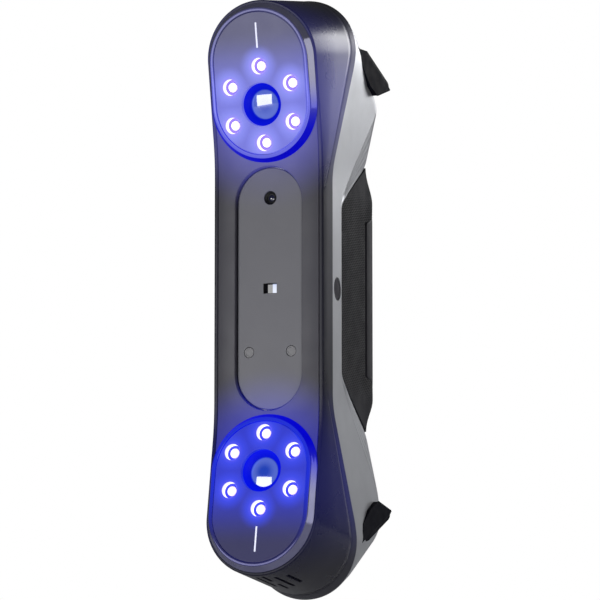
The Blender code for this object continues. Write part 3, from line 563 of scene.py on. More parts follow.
def cut(piece, cutters, sharp=32, plane=False):
    """Cuts the closed cutters out of a piece, then removes them."""
    piece.modifiers.clear()
    for cutter in cutters:
        mod = piece.modifiers.new("cut", "BOOLEAN")
        mod.object, mod.solver, mod.operation = cutter, "EXACT", "DIFFERENCE"
    bpy.context.view_layer.update()
    made = bpy.data.meshes.new_from_object(piece.evaluated_get(bpy.context.evaluated_depsgraph_get()))
    old = piece.data
    piece.modifiers.clear()
    piece.data = made
    bpy.data.meshes.remove(old)
    made.name = piece.name
    tidied = bmesh.new()
    tidied.from_mesh(made)
    bmesh.ops.dissolve_degenerate(tidied, dist=1e-6, edges=tidied.edges)
    tidied.to_mesh(made)
    tidied.free()
    for cutter in cutters:
        bpy.data.objects.remove(cutter)
    smooth(piece, sharp, plane)
    return piece


def face(shape, *corners):
    """A face of those corners that differ, if there are three or more of them."""
    distinct = list(dict.fromkeys(corners))
    return shape.faces.new(distinct) if len(distinct) > 2 else None


def loft(rows, closed_rows=True, closed_columns=False, cap=False, material=None):
    """A bmesh through rows of points: loops, open rows or single points. The rows may close on themselves."""
    shape = bmesh.new()
    made = [[shape.verts.new(point) for point in row] for row in rows]
    pairs = list(zip(made, made[1:])) + ([(made[-1], made[0])] if closed_columns else [])
    for number, (row, following) in enumerate(pairs):
        count = max(len(row), len(following))
        for i in range(count if closed_rows else count - 1):
            j = (i + 1) % count
            side = face(shape, row[i % len(row)], row[j % len(row)], following[j % len(following)],
                        following[i % len(following)])
            if side and material:
                side.material_index = material(number)
    if cap:
        for row in (made[0], made[-1]):
            shape.faces.new(row)
    return shape


def lathe(name, profile, looks, matrix, steps=72, material=None, **facts):
    """A profile of (radius, height) turned about local Z, with its ends on the axis or as a closed ring."""
    ring = profile[0] == profile[-1]
    turns = [2 * math.pi * step / steps for step in range(steps)]
    rows = [[(r * math.cos(t), r * math.sin(t), h) for t in turns] if r > 0 else [(0.0, 0.0, h)]
            for r, h in (profile[:-1] if ring else profile)]
    return add(name, loft(rows, closed_columns=ring, material=material), looks, matrix, **facts)


def stadium(radius, low, high, steps=40):
    points = []
    for centre, start in ((high, 0), (low, 180)):
        for step in range(steps + 1):
            angle = math.radians(start + 180 * step / steps)
            points.append((radius * math.cos(angle), centre + radius * math.sin(angle)))
    return points


def stadium_loft(name, section, outline, looks, matrix, ring=False, **facts):
    """A round-ended plate or ring: its section's corners are (inset, height)."""
    radius, low, high = outline
    rows = [[(x, y, height) for x, y in stadium(radius - inset, low, high)] for inset, height in section]
    return add(name, loft(rows, closed_columns=ring, cap=not ring), looks, matrix, **facts)


def turned_cutter(profile, matrix, steps=72):
    return lathe("cutter", profile, (), matrix, steps, body=None)


def rod(radius, low, high, matrix, steps=48):
    return turned_cutter([(0.0, low), (radius, low), (radius, high), (0.0, high)], matrix, steps)


def slot_cutter(section, outline, matrix):
    return stadium_loft("cutter", section, outline, (), matrix, body=None)


def rectangle(half_width, half_height):
    return [(x * half_width, y * half_height) for x, y in ((-1, -1), (1, -1), (1, 1), (-1, 1))]


def box(low, high, matrix=BODY):
    shape = bmesh.new()
    bmesh.ops.create_cube(shape, size=1.0)
    shape.transform(Matrix.Translation((Vector(high) + Vector(low)) / 2)
                    @ Matrix.Diagonal((*(Vector(high) - Vector(low)), 1.0)))
    return add("cutter", shape, (), matrix, body=None)


# ---- body surfaces


def ramp(value, start, blend):
    """0 up to the start and rising by 1 per 1 after it, with a rounded corner that far to both sides."""
    past = value - start
    if past <= -blend:
        return 0.0
    if past >= blend:
        return past
    return (past + blend) ** 2 / (4 * blend)


def front_face(z):
    return WAIST_DEPTH - math.tan(TOE_IN) * ramp(abs(z), TOE_START, 7.0)


def housing_rear(z):
    return 0.3 + 0.44 * ramp(abs(z), 33.0, 6.0) - 0.33 * ramp(abs(z), 83.4, 5.0)


def crisp_edge(z):
    return 6.6 + 0.475 * ramp(abs(z), 41.5, 5.0) - 0.367 * ramp(abs(z), 83.4, 4.0)


def grip_front(z):
    return GRIP_DEPTH + GRIP_SLOPE * ramp(abs(z), GRIP_HALF_HEIGHT, GRIP_CORNER)


def shell_rear(z):
    return (grip_front(z) - (GRIP_SLOPE - REAR_SLOPE) * ramp(abs(z), REAR_DIP_HEIGHT, 2.5)
            - REAR_SLOPE * ramp(abs(z), REAR_LEVEL_HEIGHT, 4.0))


def housing_end(depth):
    return HOUSING_CENTRE - HOUSING_LEAN * (KNEE_DEPTH - depth)


def shell_end(depth, end):
    """Height of the centre of the shell's end arcs, with a soft knee."""
    centre, front_lean, rear_lean = end
    past_knee = ramp(depth, KNEE_DEPTH, 1.6)
    return centre - front_lean * (KNEE_DEPTH - depth) - (front_lean + rear_lean) * past_knee


def upper_end(depth):
    return shell_end(depth, UPPER_END)


def lower_end(depth):
    return shell_end(depth, LOWER_END)


def housing_width(*_):
    """The housing's sides are straight, whatever the depth and height."""
    return HALF_WIDTH


def shell_width(depth, z):
    edge, lip = crisp_edge(z), housing_rear(z)
    if depth < edge:
        return BAND_HALF_WIDTH + (EDGE_HALF_WIDTH - BAND_HALF_WIDTH) * max(0.0, (depth - lip) / (edge - lip))
    return EDGE_HALF_WIDTH - SIDE_TAPER * (depth - edge)


def between(first, last, part):
    return lambda z: first(z) + (last(z) - first(z)) * part


def shifted(level, amount):
    return lambda z: level(z) + amount


def outline_height(level, width, inset, sine, centre):
    """Height at which the end arc reaches that sine, found by halving, because depth depends on height."""
    low, high = 0.0, 140.0
    for _ in range(36):
        middle = (low + high) / 2
        depth = level(middle)
        if centre(depth) + (width(depth, middle) - inset(middle)) * sine > middle:
            low = middle
        else:
            high = middle
    return (low + high) / 2


def quarter_ring(level, width, inset, centre):
    """Outline of a level surface from the middle of the right side to the top, pulled in by the inset."""
    tangent = outline_height(level, width, inset, 0.0, centre)
    points = []
    for step in range(SIDE_STEPS):
        z = tangent * step / SIDE_STEPS
        points.append((width(level(z), z) - inset(z), level(z), z))
    for step in range(ARC_STEPS + 1):
        angle = math.pi / 2 * step / ARC_STEPS
        z = outline_height(level, width, inset, math.sin(angle), centre)
        across = 0.0 if step == ARC_STEPS else (width(level(z), z) - inset(z)) * math.cos(angle)
        points.append((across, level(z), z))
    return points


def full_ring(level, width, inset):
    """Outline of a level surface all the way round, its right half first."""
    deep = inset if callable(inset) else lambda z: inset
    ends = (upper_end, lower_end) if width is shell_width else (housing_end, housing_end)
    upper, lower = (quarter_ring(level, width, deep, centre) for centre in ends)
    right = [(x, y, -z) for x, y, z in reversed(lower[1:])] + upper
    return right + [(-x, y, z) for x, y, z in reversed(right[1:-1])]


def cap_across(shape, row):
    """Closes a full ring with strips that run straight across the body."""
    half = len(row) // 2
    right, left = row[:half + 1], [row[0]] + row[:half - 1:-1]
    for i in range(half):
        face(shape, right[i], right[i + 1], left[i + 1], left[i])


def body_loft(levels, width, ring=False, material=None):
    rows = [full_ring(level, width, inset) for level, inset in levels]
    shape = loft(rows, closed_columns=ring, material=material)
    if not ring:
        shape.verts.ensure_lookup_table()
        count = len(rows[0])
        for first in (0, count * (len(rows) - 1)):
            cap_across(shape, [shape.verts[first + i] for i in range(count)])
    return shape


# ---- casings


def front_housing():
    """Dark outer frame: a thin rim round the front panel, a rounded front edge and a plain wall behind it."""
    rim = [(shifted(front_face, 0.9), RIM_WIDTH + 0.02), (shifted(front_face, 0.12), RIM_WIDTH),
           (shifted(front_face, 0.04), RIM_WIDTH - 0.06), (front_face, RIM_WIDTH - 0.2), (front_face, 0.9)]
    for step in range(6):
        angle = math.pi / 2 * step / 5
        depth, inset = (CORNER_ROUND * (1 - ratio) for ratio in (math.cos(angle), math.sin(angle)))
        rim.append((shifted(front_face, depth), inset))
    wall = [(between(front_face, housing_rear, part), 0.0) for part in (0.62, 0.72, 0.82, 0.92)]
    rear = [(shifted(housing_rear, depth), inset)
            for depth, inset in ((-0.35, 0.02), (-0.2, 0.1), (-0.12, 0.3), (-0.12, CASE_WALL))]
    rear.append((shifted(front_face, CASE_WALL), CASE_WALL))
    shape = body_loft(rim + wall + rear, housing_width, ring=True)
    housing = add("front_housing_shell", shape, "housing", stands_for="front_housing")
    cutters = [box((x - 0.6, start, -112.0), (x + 0.6, end, -97.0)) for x, start, end in VENTS]
    cutters.append(rod(0.6, 96.0, 112.0, BODY @ Matrix.Translation(Vector((9.2, 7.7, 0.0)) * MM), 24))
    cut(housing, cutters)
    # Black sheet inside the housing, seen through the vents: painted shade for the dark inside.
    lining = body_loft([(shifted(front_face, 3.2), 2.75), (between(front_face, housing_rear, 0.5), 2.75),
                        (shifted(housing_rear, -0.6), 2.75), (shifted(housing_rear, -0.6), 3.4),
                        (shifted(front_face, 3.2), 3.4)], housing_width, ring=True)
    add("vent_shade_sheet", lining, "black")


def front_panel():
    edge = RIM_WIDTH + PANEL_GAP
    levels = [(front_face, edge + 0.12)]
    for depth, inset in ((0.03, 0.03), (0.1, 0.0), (2.0, 0.0)):
        levels.append((shifted(front_face, depth), edge + inset))
    panel = add("front_panel", body_loft(levels, housing_width), "fascia", slot="housing",
                stands_for="front_fascia")
    mouth = [(-0.1, -9.0), (-0.1, 1.35), (-0.4, 1.7), (-0.4, 9.0)]
    cutters = [slot_cutter(mouth, PLATE_OUTLINE, on_plate(0, 0))]
    cutters += [slot_cutter([(1.5, -12.0), (1.5, 4.0)], POD_OUTLINE, pod) for _, pod in PODS]
    cut(panel, cutters)


RAYS = (1.03, 1.19, 1.36, 1.54)   # depth per height of the ridges that fan out from the grip's corners
FACET_SLOPE = 0.09
GROOVE_DEPTH = 0.2
CREASE = 14   # degrees from which an edge of the shell stays sharp


def ray(slope, z):
    return 17.0 + slope * ramp(abs(z), 29.8, 1.2)


def ridge(before, slope, beyond, margin):
    """Level just beyond a ridge, which leaves the grip's corner and ends at the shell's rear edge."""
    return lambda z: min(shell_rear(z) - margin, max(before(z) + 0.1, ray(slope, z) - 2.6 + beyond))


def facet(level, groove=0.0):
    """How far the side lies back at that level: it slopes inwards behind the first ridge."""
    def inset(z):
        start = ray(RAYS[0], z) - 2.6
        past = max(0.0, level(z) - start)
        fade = min(1.0, max(0.0, (abs(z) - 30.5) / 5.0))
        return fade * (FACET_SLOPE * past + (groove if past > 0.1 else 0.0))
    return inset


def rear_shell():
    def lip(z):
        return housing_rear(z) + 0.12
    band = [(lip, 2.0), (lip, 0.4), (shifted(lip, 0.06), 0.16), (shifted(lip, 0.2), 0.04)]
    band += [(between(shifted(lip, 0.4), crisp_edge, part), 0.0) for part in (0.0, 0.35, 0.7, 0.94)]
    band += [(shifted(crisp_edge, -0.16), 0.0), (crisp_edge, 0.02)]
    count = len(band)
    band += [(shifted(crisp_edge, 0.2), 0.01), (shifted(crisp_edge, 0.5), 0.0)]
    level = first_ridge = ridge(shifted(crisp_edge, 1.1), RAYS[0], 0.0, 2.4)
    for part in (0.2, 0.4, 0.6, 0.8, 0.94):
        band.append((between(shifted(crisp_edge, 0.5), first_ridge, part), 0.0))
    margin = 2.4
    for slope in RAYS:
        for beyond, groove in ((0.0, 0.0), (0.35, GROOVE_DEPTH), (0.7, 0.0)):
            if margin < 2.4:
                level = ridge(level, slope, beyond, margin)
            band.append((level, facet(level, groove)))
            margin -= 0.15
    last = shifted(shell_rear, -0.3)
    band.append((last, facet(last)))
    for step in range(1, 5):
        angle = math.pi / 2 * step / 4
        size = 0.28
        level = shifted(shell_rear, -size * (1 - math.sin(angle)))
        band.append((level, shifted(facet(level), size * (1 - math.cos(angle)))))
    inner = [(shifted(shell_rear, -2.2), 2.6), (between(crisp_edge, shell_rear, 0.4), 2.4), (crisp_edge, 2.3)]
    # The rows up to the crisp edge take the band's look: the silver painted darker, as painted shade.
    shape = body_loft(inner + band, shell_width,
                      material=lambda number: 1 if number < count + len(inner) - 1 else 0)
    shell = add("rear_shell_skin", shape, ("silver", "band"), slot="silver", stands_for="rear_shell",
                sharp=CREASE)
    cutters = [rod(PORT_RADIUS + 0.2, -5.0, 4.0, port_frame(), 64)]
    for x, z in SCREW_PLACES:
        cutters.append(rod(2.9, -1.1, 5.0, facing(x, shell_rear(z), z, BACKWARD)))
    socket = (2.3, -SOCKET_HALF_LENGTH, SOCKET_HALF_LENGTH)
    cutters.append(slot_cutter([(0.0, -6.0), (0.0, 6.0)], socket, socket_frame()))
    cut(shell, cutters, sharp=CREASE)


def port_frame():
    """Frame in the middle of the side port, its local +Z out of the side."""
    turn = Matrix.Rotation(math.atan(SIDE_TAPER), 4, "Z") @ Matrix.Rotation(math.pi / 2, 4, "Y")
    return facing(shell_width(PORT_DEPTH, 0.0), PORT_DEPTH, 0.0, turn)


def socket_frame():
    """Frame in the mouth of the data socket, its local +Z out of the lower end."""
    lean = math.atan2(1.0, LOWER_END[2] + SIDE_TAPER)
    centre = lower_end(SOCKET_DEPTH)
    turn = Matrix.Rotation(-math.pi + lean, 4, "X") @ Matrix.Rotation(math.pi / 2, 4, "Z")
    return facing(0.0, SOCKET_DEPTH, -(centre + shell_width(SOCKET_DEPTH, centre + 18.0)), turn)


def handle_rear(z):
    part = min(1.0, max(0.0, (REAR_DIP_HEIGHT - abs(z)) / SHOULDER_LENGTH))
    return REAR_DIP_DEPTH + (HANDLE_REAR_DEPTH - REAR_DIP_DEPTH) * part * part * (3 - 2 * part)


def handle_point(z, turn, inset):
    """Point of the handle's skin: turn 0 to 1 runs down the side, 1 to 2 round to the middle of the back."""
    def side(depth):
        return GRIP_HALF_WIDTH - GRIP_TAPER * (depth - GRIP_DEPTH) - inset
    start = min(grip_front(z) + GAP, GRIP_REAR_DEPTH - 0.4)
    if turn <= 1:
        depth = start + (GRIP_REAR_DEPTH - start) * turn
        return (side(depth), depth, z)
    rise = max(0.2, handle_rear(z) - GRIP_REAR_DEPTH - inset)
    angle = math.pi / 2 * (turn - 1)
    across = side(GRIP_REAR_DEPTH) * max(0.0, math.cos(angle)) ** 0.5
    return (across, GRIP_REAR_DEPTH + rise * math.sin(angle) ** 0.5, z)


def cover_edge(z):
    """Where the smooth back begins on the handle's skin: it rounds off towards both ends."""
    part = min(1.0, max(0.0, (abs(z) - 27.5) / 8.0))
    return 1.0 + 0.985 * part * part * (3 - 2 * part) if part > 0 else 1.0


def grip_sleeve(side, sign, heights, columns=46):
    """Side of the handle's skin as far as the smooth back, with softly rounded edges."""
    insets = [0.12, 0.02] + [0.0] * (columns - 3) + [0.02, 0.12]
    rows = []
    for z in heights:
        last = cover_edge(z) - 0.006
        turns = [last * (step / columns) for step in range(columns + 1)]
        outer = [handle_point(z, turn, inset) for turn, inset in zip(turns, insets)]
        inner = [handle_point(z, turn, SKIN_THICKNESS) for turn in turns[::6] + [turns[-1]]]
        rows.append([(sign * x, y, h) for x, y, h in outer + inner[::-1]])
    add(f"grip_{side}_sleeve", loft(rows, cap=True), "grip", stands_for=f"grip_{side}", sharp=40)


def handle():
    """Two textured sleeves, and the smooth back between them with holes for the buttons and the lamp."""
    def heights(reach, count=96):
        return [-reach + 2 * reach * step / count for step in range(count + 1)]
    for side, sign in (("right", 1), ("left", -1)):
        grip_sleeve(side, sign, heights(GRIP_REACH))
    rows = []
    insets = [0.12, 0.02] + [0.0] * 39
    for z in heights(COVER_REACH):
        first = cover_edge(z) + 0.012
        turns = [first + (2.0 - first) * step / 40 for step in range(41)]
        right = [handle_point(z, turn, inset) for turn, inset in zip(turns, insets)]
        inner = [handle_point(z, turn, SKIN_THICKNESS) for turn in turns[::5]]
        outer = right + [(-x, y, h) for x, y, h in reversed(right[:-1])]
        inside = inner + [(-x, y, h) for x, y, h in reversed(inner[:-1])]
        rows.append(outer + inside[::-1])
    cover = add("back_cover", loft(rows, cap=True), "cover", stands_for="handle_cover", sharp=40)
    cutters = [rod(radius + GAP, -12.0, 6.0, on_back(z)) for _, z, radius in BUTTONS]
    cutters.append(rod(LAMP_HOLE_RADIUS, -12.0, 6.0, on_back(LAMP_HEIGHT), 32))
    cut(cover, cutters, sharp=40)


def controls():
    section = [(0.0, -0.7), (0.0, 0.1), (0.06, 0.22), (0.2, 0.3)]
    panel = stadium_loft("button_panel_gloss", section, PANEL_OUTLINE, "window", on_back(0),
                         stands_for="button_panel")
    cutters = []
    for _, z, radius in BUTTONS:
        cutters.append(turned_cutter([(0.0, -6.0), (radius + 0.25, -6.0), (radius + 0.25, 0.12),
                                      (radius + 0.6, 0.32), (radius + 0.6, 6.0), (0.0, 6.0)], on_back(z)))
    cutters.append(rod(LAMP_HOLE_RADIUS, -6.0, 6.0, on_back(LAMP_HEIGHT), 32))
    cut(panel, cutters, plane=True)
    for name, z, radius in BUTTONS:
        push_button(name, on_back(z), radius)
    lamp = [(0.0, 0.42), (0.8, 0.38), (1.15, 0.22), (1.3, -0.1), (1.3, -7.0), (0.0, -7.0)]
    lathe("status_lamp_lens", lamp, "status", on_back(LAMP_HEIGHT), slot="led", stands_for="status_light")


def push_button(name, turn, radius):
    """Cap with a raised rim, its mark sunk into it, and its collar and stem inside the handle."""
    dish = [(0.0, 0.72), (radius * 0.4, 0.76), (radius - 1.3, 0.92), (radius - 0.75, 1.03),
            (radius - 0.4, 1.0), (radius - 0.12, 0.85), (radius, 0.6)]
    stem = [(radius, -2.5), (radius + 0.9, -2.5), (radius + 0.9, -3.6), (1.6, -3.6), (1.6, -6.0), (0.0, -6.0)]
    button = lathe(f"{name}_button_cap", dish + stem, "button", turn, body=f"{name}_button", slot="rubber",
                   stands_for=f"button_{name}")
    if name == "scan":
        ring = [(1.9, 0.62), (2.3, 0.62), (2.3, 2.0), (1.9, 2.0), (1.9, 0.62)]
        cutters = [turned_cutter(ring, turn)]
    else:
        strokes = {"plus": ((1.5, 0.28), (0.28, 1.5)), "minus": ((1.5, 0.28),)}[name]
        cutters = [box((-x, -y, 0.6), (x, y, 2.0), turn) for x, y in strokes]
    cut(button, cutters)


def bezel(end, pod):
    """Ring with a flared wall, a rounded front edge and a narrow face."""
    foot = POD_RADIUS - BEZEL_FOOT_RADIUS
    wall = [(foot, -2.6), (foot, -2.5), (foot + 0.04, -2.42), (foot * 0.75, -1.95), (foot * 0.5, -1.35),
            (foot * 0.25, -0.75), (-0.06, -0.32), (0.0, -0.17), (0.1, -0.05), (0.26, 0.0)]
    inside = [(1.0, 0.0), (1.14, -0.05), (1.2, -0.2), (1.2, -2.6)]
    stadium_loft(f"{end}_bezel_ring", wall + inside, POD_OUTLINE, f"{end}_bezel", pod, ring=True,
                 slot="bezel", stands_for=f"{end}_bezel", sharp=18)


def pod_window(end, pod, spots):
    section = [(1.42, -1.6), (1.42, -0.32), (1.5, -0.18), (1.66, -0.12)]
    window = stadium_loft(f"{end}_window_glass", section, POD_OUTLINE, f"{end}_window", pod, slot="window",
                          stands_for=f"{end}_window")
    port = [(0.0, -9.0), (7.5, -9.0), (7.5, -0.4), (7.58, -0.2), (7.8, -0.1), (7.8, 3.0), (0.0, 3.0)]
    hole = [(0.0, -9.0), (LED_RADIUS, -9.0), (LED_RADIUS, -0.35), (LED_RADIUS + 0.2, -0.1),
            (LED_RADIUS + 0.2, 3.0), (0.0, 3.0)]
    cutters = [turned_cutter(port, pod, 96)]
    cutters += [turned_cutter(hole, spot, 48) for spot in spots]
    low, high = INDEX_LINE
    cutters.append(box((-0.32, low - 0.02, -0.3), (0.32, high + 0.02, 3.0), pod))
    cut(window, cutters, plane=True)


def emitters(end, spots):
    """A white-walled well with a dome in it at each spot."""
    wide, narrow = LED_RADIUS - 0.02, LED_RADIUS - 0.12
    well = [(0.0, -2.6), (narrow, -2.6), (narrow, -1.55), (wide, -1.5), (wide, -2.75), (0.0, -2.75)]
    dome = [(0.0, -1.5), (0.6, -1.56), (1.15, -1.8), (1.55, -2.2), (1.78, -2.58), (1.78, -2.7), (0.0, -2.7)]
    for number, spot in enumerate(spots, 1):
        lathe(f"{end}_light_well_{number}", well, ("well", f"{end}_well_floor"), spot, 48,
              material=lambda row: 1 if row == 0 else 0, slot="led")
        lathe(f"{end}_emitter_{number}", dome, "emitter", spot, 40, slot="led")


def pods():
    for end, pod in PODS:
        bezel(end, pod)
        spots = [in_pod(pod, LED_CIRCLE_RADIUS * math.cos(turn), LED_CIRCLE_RADIUS * math.sin(turn))
                 for turn in map(math.radians, LED_ANGLES)]
        pod_window(end, pod, spots)
        emitters(end, spots)
        low, high = INDEX_LINE
        rows = [[(-w, low, height), (w, low, height), (w, high, height), (-w, high, height)]
                for w, height in ((0.3, -0.28), (0.3, -0.08), (0.26, -0.02))]
        add(f"{end}_index_mark", loft(rows, cap=True), "led", pod, slot="led", stands_for=f"{end}_index_line")
        barrel = [(8.5, -1.75), (8.5, -8.0), (7.9, -8.6), (7.9, -14.0), (8.6, -14.6), (8.6, -18.0),
                  (5.2, -18.0), (5.2, -5.9), (5.7, -5.9), (5.7, -3.2), (5.62, -3.0), (5.45, -2.92),
                  (5.3, -2.98), (5.9, -2.6), (7.2, -1.8), (7.45, -1.75), (8.5, -1.75)]
        lathe(f"{end}_lens_mount", barrel, f"{end}_port", pod, 96, slot="black",
              stands_for=f"{end}_lens_barrel")
        dome = []
        for step in range(11):
            radius = LENS_RADIUS * step / 10
            dome.append((radius, -3.4 + 0.62 * (1 - (radius / LENS_RADIUS) ** 2)))
        lathe(f"{end}_lens_element", dome + [(LENS_RADIUS, -5.6), (0.0, -5.6)], f"{end}_lens", pod, 96,
              slot="lens", stands_for=f"{end}_lens")


def centre():
    section = [(0.2, -1.5), (0.2, -0.3), (0.24, -0.12), (0.34, -0.03), (0.5, 0.0)]
    plate = stadium_loft("camera_plate", section, PLATE_OUTLINE, "plate", on_plate(0, 0),
                         stands_for="center_plate")
    cutters = [rod(2.45, -5.0, 3.0, on_plate(0, CAMERA_HEIGHT), 64), box((-2.6, -3.0, -1.8), (2.6, 5.0, 1.8))]
    for x in (-DISC_X, DISC_X):
        cutters.append(rod(1.95, -5.0, 3.0, on_plate(x, DISC_HEIGHT), 56))
    cut(plate, cutters, plane=True)
    disc = [(0.0, -0.12), (1.2, -0.12), (1.3, -0.05), (1.72, -0.05), (1.8, -0.16), (1.8, -2.2), (0.0, -2.2)]
    for side, x in (("left", -DISC_X), ("right", DISC_X)):
        lathe(f"{side}_sensor_disc", disc, "disc", on_plate(x, DISC_HEIGHT), 56, slot="window",
              stands_for=f"{side}_fill_light")
    glass = [[(x, y, z) for x, z in rectangle(*half)]
             for *half, y in ((2.9, 2.1, 2.45), (2.9, 2.1, 1.95), (2.8, 2.0, 1.85))]
    add("projector_glass_block", loft(glass, cap=True), "projector", slot="lens",
        stands_for="projector_window")
    tunnel = [[(x, y, z) for x, z in rectangle(*half)]
              for *half, y in ((2.95, 2.15, 0.1), (2.95, 2.15, 1.8), (2.45, 1.65, 1.8), (2.5, 1.7, 0.1))]
    add("projector_tunnel", loft(tunnel, closed_columns=True), "black")
    camera = on_plate(0, CAMERA_HEIGHT)
    ring = [(2.3, -0.25), (2.4, -0.45), (2.4, -9.0), (1.15, -9.0), (1.15, -1.35), (1.5, -1.3), (1.62, -0.75),
            (1.9, -0.62), (2.12, -0.3), (2.3, -0.25)]
    lathe("camera_ring", ring, "black", camera, 64, stands_for="color_camera_barrel")
    eye = [(0.0, -0.95), (0.4, -1.0), (0.8, -1.12), (1.12, -1.4), (1.12, -2.3), (0.0, -2.3)]
    lathe("camera_eye", eye, "lens", camera, 56, slot="lens", stands_for="color_camera_lens")


def side_port():
    plug = [(0.0, -0.1), (2.2, -0.1), (2.4, -0.16), (2.6, -0.16), (2.8, -0.1), (3.3, -0.08), (3.7, -0.14),
            (3.86, -0.32), (PORT_RADIUS, -0.6), (PORT_RADIUS, -1.9), (2.2, -1.9), (2.2, -6.0), (0.0, -6.0)]
    lathe("side_port_plug", plug, "plug", port_frame(), 72, slot="rubber", stands_for="port_plug")


# Outlines of a foot's inner face as (depth, height), from its front round the rear corner to its underside.
FOOT_OUTLINES = {
    "upper": ((31.0, 88.9), (40.8, 89.2), (59.0, 80.9), (59.9, 80.1), (60.2, 79.2), (60.1, 78.3),
              (59.4, 77.8), (48.6, 74.2), (41.5, 76.6), (35.5, 82.0)),
    "lower": ((32.0, 88.5), (41.3, 86.6), (59.0, 78.5), (59.9, 77.7), (60.2, 76.8), (60.1, 75.9),
              (59.4, 75.4), (48.4, 72.6), (41.0, 75.6), (34.5, 81.0)),
}
# A foot's layers from its inner to its outer side: x, and the share of the outer face's outline.
FOOT_LAYERS = ((15.2, 0.25), (15.35, 0.0), (19.15, 0.0), (19.3, 0.08), (19.95, 0.92), (20.1, 1.0))
FOOT_CHAMFER = 2.3
FOOT_EDGE = 0.18


def foot_face(outline):
    """The outer face's outline: pulled in along the outer edge and the rear corner for the wide chamfer."""
    corners = []
    for number, point in enumerate(outline):
        pull = FOOT_CHAMFER if 1 <= number <= 4 else (0.0 if number in (0, 8, 9) else 0.5)
        inward = Vector((-0.42, -0.9)) if number < 3 else Vector((-0.75, -0.5))
        corners.append(Vector(point) + inward.normalized() * pull if pull else Vector(point))
    return corners


def feet():
    """Corner feet with a flat side, a wide chamfer and softened edges."""
    for end, sign in (("upper", 1), ("lower", -1)):
        outline = FOOT_OUTLINES[end]
        pairs = list(zip(map(Vector, outline), foot_face(outline)))
        for side, facing_x in (("right", 1), ("left", -1)):
            rows = []
            for x, share in FOOT_LAYERS:
                rows.append([(facing_x * x, inner.x + (outer.x - inner.x) * share,
                              sign * (inner.y + (outer.y - inner.y) * share)) for inner, outer in pairs])
            foot = add(f"{end}_{side}_bumper", loft(rows, cap=True), "rubber",
                       stands_for=f"{end}_{side}_foot", sharp=30)
            mod = foot.modifiers.new("edges", "BEVEL")
            mod.width, mod.segments, mod.limit_method = FOOT_EDGE * MM, 2, "ANGLE"
            mod.angle_limit = math.radians(24)


def small_parts():
    head = [(0.0, 1.3), (1.6, 1.28), (2.1, 1.1), (2.4, 0.8), (2.5, 0.5), (2.5, 0.0), (1.3, 0.0), (1.3, -9.0),
            (0.0, -9.0)]
    for number, (x, z) in enumerate(SCREW_PLACES, 1):
        turn = facing(x, shell_rear(z) - 1.1 + GAP, z, BACKWARD)
        screw = lathe(f"case_screw_{number}", head, "steel", turn, 56,
                      stands_for=f"shell_screw_{number}")
        cut(screw, [rod(1.1, 0.4, 3.0, turn, 6)])
    lining = [(0.0, -7.5), (0.0, -0.15), (0.05, -0.1), (0.35, -0.1), (0.4, -0.2), (0.4, -6.3)]
    outline = (2.0, -SOCKET_HALF_LENGTH, SOCKET_HALF_LENGTH)
    stadium_loft("data_socket", lining, outline, "steel", socket_frame(), stands_for="usb_socket")
    tongue = [[(x, y, height) for x, y in rectangle(half, 3.1)]
              for half, height in ((0.35, -6.2), (0.35, -1.6), (0.25, -1.45))]
    add("data_socket_tongue", loft(tongue, cap=True), "black", socket_frame())


front_housing()
front_panel()
rear_shell()
handle()
controls()
pods()
centre()
side_port()
feet()
small_parts()

# ---- stage, camera and lights


FLOOR_HEIGHT = -0.138   # metres, well below the scanner, which floats as in the photograph


def stage():
    """Pale flat floor of 7 by 4.6 metres below the scanner."""
    shape = loft([[(x, y, 0.0) for x in (-3.5, -1.0, 1.0, 3.5)] for y in (-3.0, 1.6)], closed_rows=False)
    mesh = bpy.data.meshes.new("studio_floor")
    shape.to_mesh(mesh)
    shape.free()
    look = Look("studio_paper", (0.86, 0.86, 0.87), 0.6)
    look.vary(0.01, 60.0)
    mesh.materials.append(look.done())
    floor = bpy.data.objects.new("studio_floor", mesh)
    bpy.context.scene.collection.objects.link(floor)
    floor.location = (0.0, 0.0, FLOOR_HEIGHT)


def softbox(name, where, width, height, power, aim=(0.0, 0.0, 0.0)):
    """Area light in metres and watts, turned towards its aim."""
    light = bpy.data.lights.new(name, "AREA")
    light.shape = "RECTANGLE"
    light.size, light.size_y = width, height
    light.energy = power
    holder = bpy.data.objects.new(name, light)
    bpy.context.scene.collection.objects.link(holder)
    holder.location = where
    holder.rotation_euler = (Vector(where) - Vector(aim)).to_track_quat("Z", "Y").to_euler()


def direction(azimuth, elevation, reach):
    """Place at that distance in metres, its azimuth from straight behind the scanner towards +X."""
    a, e = math.radians(azimuth), math.radians(elevation)
    return (reach * math.sin(a) * math.cos(e), reach * math.cos(a) * math.cos(e), reach * math.sin(e))


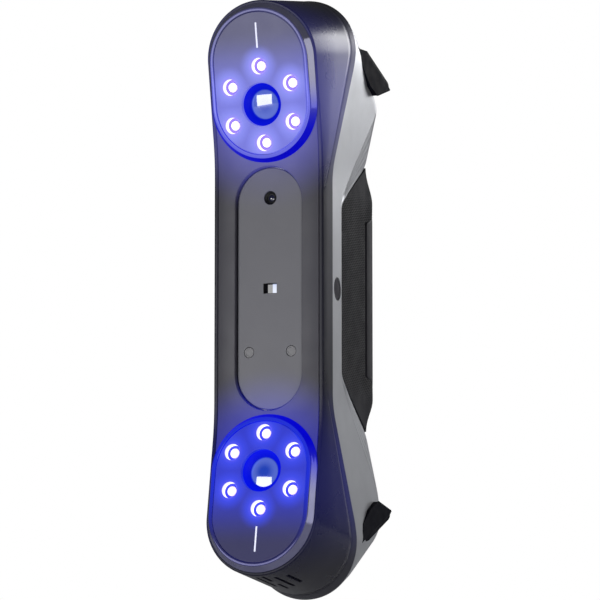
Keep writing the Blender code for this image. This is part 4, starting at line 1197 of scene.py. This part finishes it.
def lights():
    softbox("front_key", direction(205, -4, 1.4), 0.7, 0.7, 6.7)
    softbox("rear_high", direction(14, 22, 1.1), 0.3, 0.35, 2.2)
    softbox("rear_side", direction(28, 25, 1.1), 0.3, 0.3, 1.3)
    softbox("rear_low", direction(14, 5, 1.1), 0.3, 0.35, 0.2)
    softbox("low_fill", (0.15, -0.3, -0.134), 0.3, 0.3, 0.6, aim=(0.0, 0.0, -0.09))
    softbox("side_strip", direction(100, 6, 1.1), 0.34, 1.04, 1.2)
    sky()


def sky():
    """World that is white where the camera sees it and lights the scanner only faintly."""
    world = bpy.data.worlds.new("studio")
    bpy.context.scene.world = world
    world.use_nodes = True
    nodes, links = world.node_tree.nodes, world.node_tree.links
    nodes.clear()
    output, mix, path, shine, seen = (nodes.new(f"ShaderNode{kind}") for kind in (
        "OutputWorld", "MixShader", "LightPath", "Background", "Background"))
    seen.inputs["Color"].default_value = (1.0, 1.0, 1.0, 1.0)
    shine.inputs["Color"].default_value = (0.9, 0.92, 1.0, 1.0)
    shine.inputs["Strength"].default_value = 0.06
    for first, last in ((path.outputs["Is Camera Ray"], mix.inputs[0]), (shine.outputs[0], mix.inputs[1]),
                        (seen.outputs[0], mix.inputs[2]), (mix.outputs[0], output.inputs[0])):
        links.new(first, last)


VIEW_AZIMUTH = math.radians(25.0)
VIEW_ELEVATION = math.radians(-6.264)
VIEW_DISTANCE = 1.177   # metres
VIEW_LENS = 198.9
VIEW_TARGET = Vector((0.0, 24.5, -1.666))   # millimetres
VIEW_SIDE_STEP = 0.08


def camera():
    """The photograph's view: 25 degrees towards the port side, from a little below."""
    level = math.cos(VIEW_ELEVATION)
    back = Vector((math.sin(VIEW_AZIMUTH) * level, -math.cos(VIEW_AZIMUTH) * level, math.sin(VIEW_ELEVATION)))
    right = Vector((math.cos(VIEW_AZIMUTH), math.sin(VIEW_AZIMUTH), 0.0))
    target = ORIGIN + VIEW_TARGET * MM + right * VIEW_SIDE_STEP * MM
    data = bpy.data.cameras.new("camera")
    data.lens, data.sensor_width = VIEW_LENS, 36.0
    data.clip_start, data.clip_end = 0.05, 50.0
    holder = bpy.data.objects.new("camera", data)
    bpy.context.scene.collection.objects.link(holder)
    holder.location = target + back * VIEW_DISTANCE
    holder.rotation_euler = back.to_track_quat("Z", "Y").to_euler()
    bpy.context.scene.camera = holder


stage()
lights()
camera()
bpy.context.scene.view_settings.view_transform = "Standard"
bpy.context.scene.view_settings.look = "None"
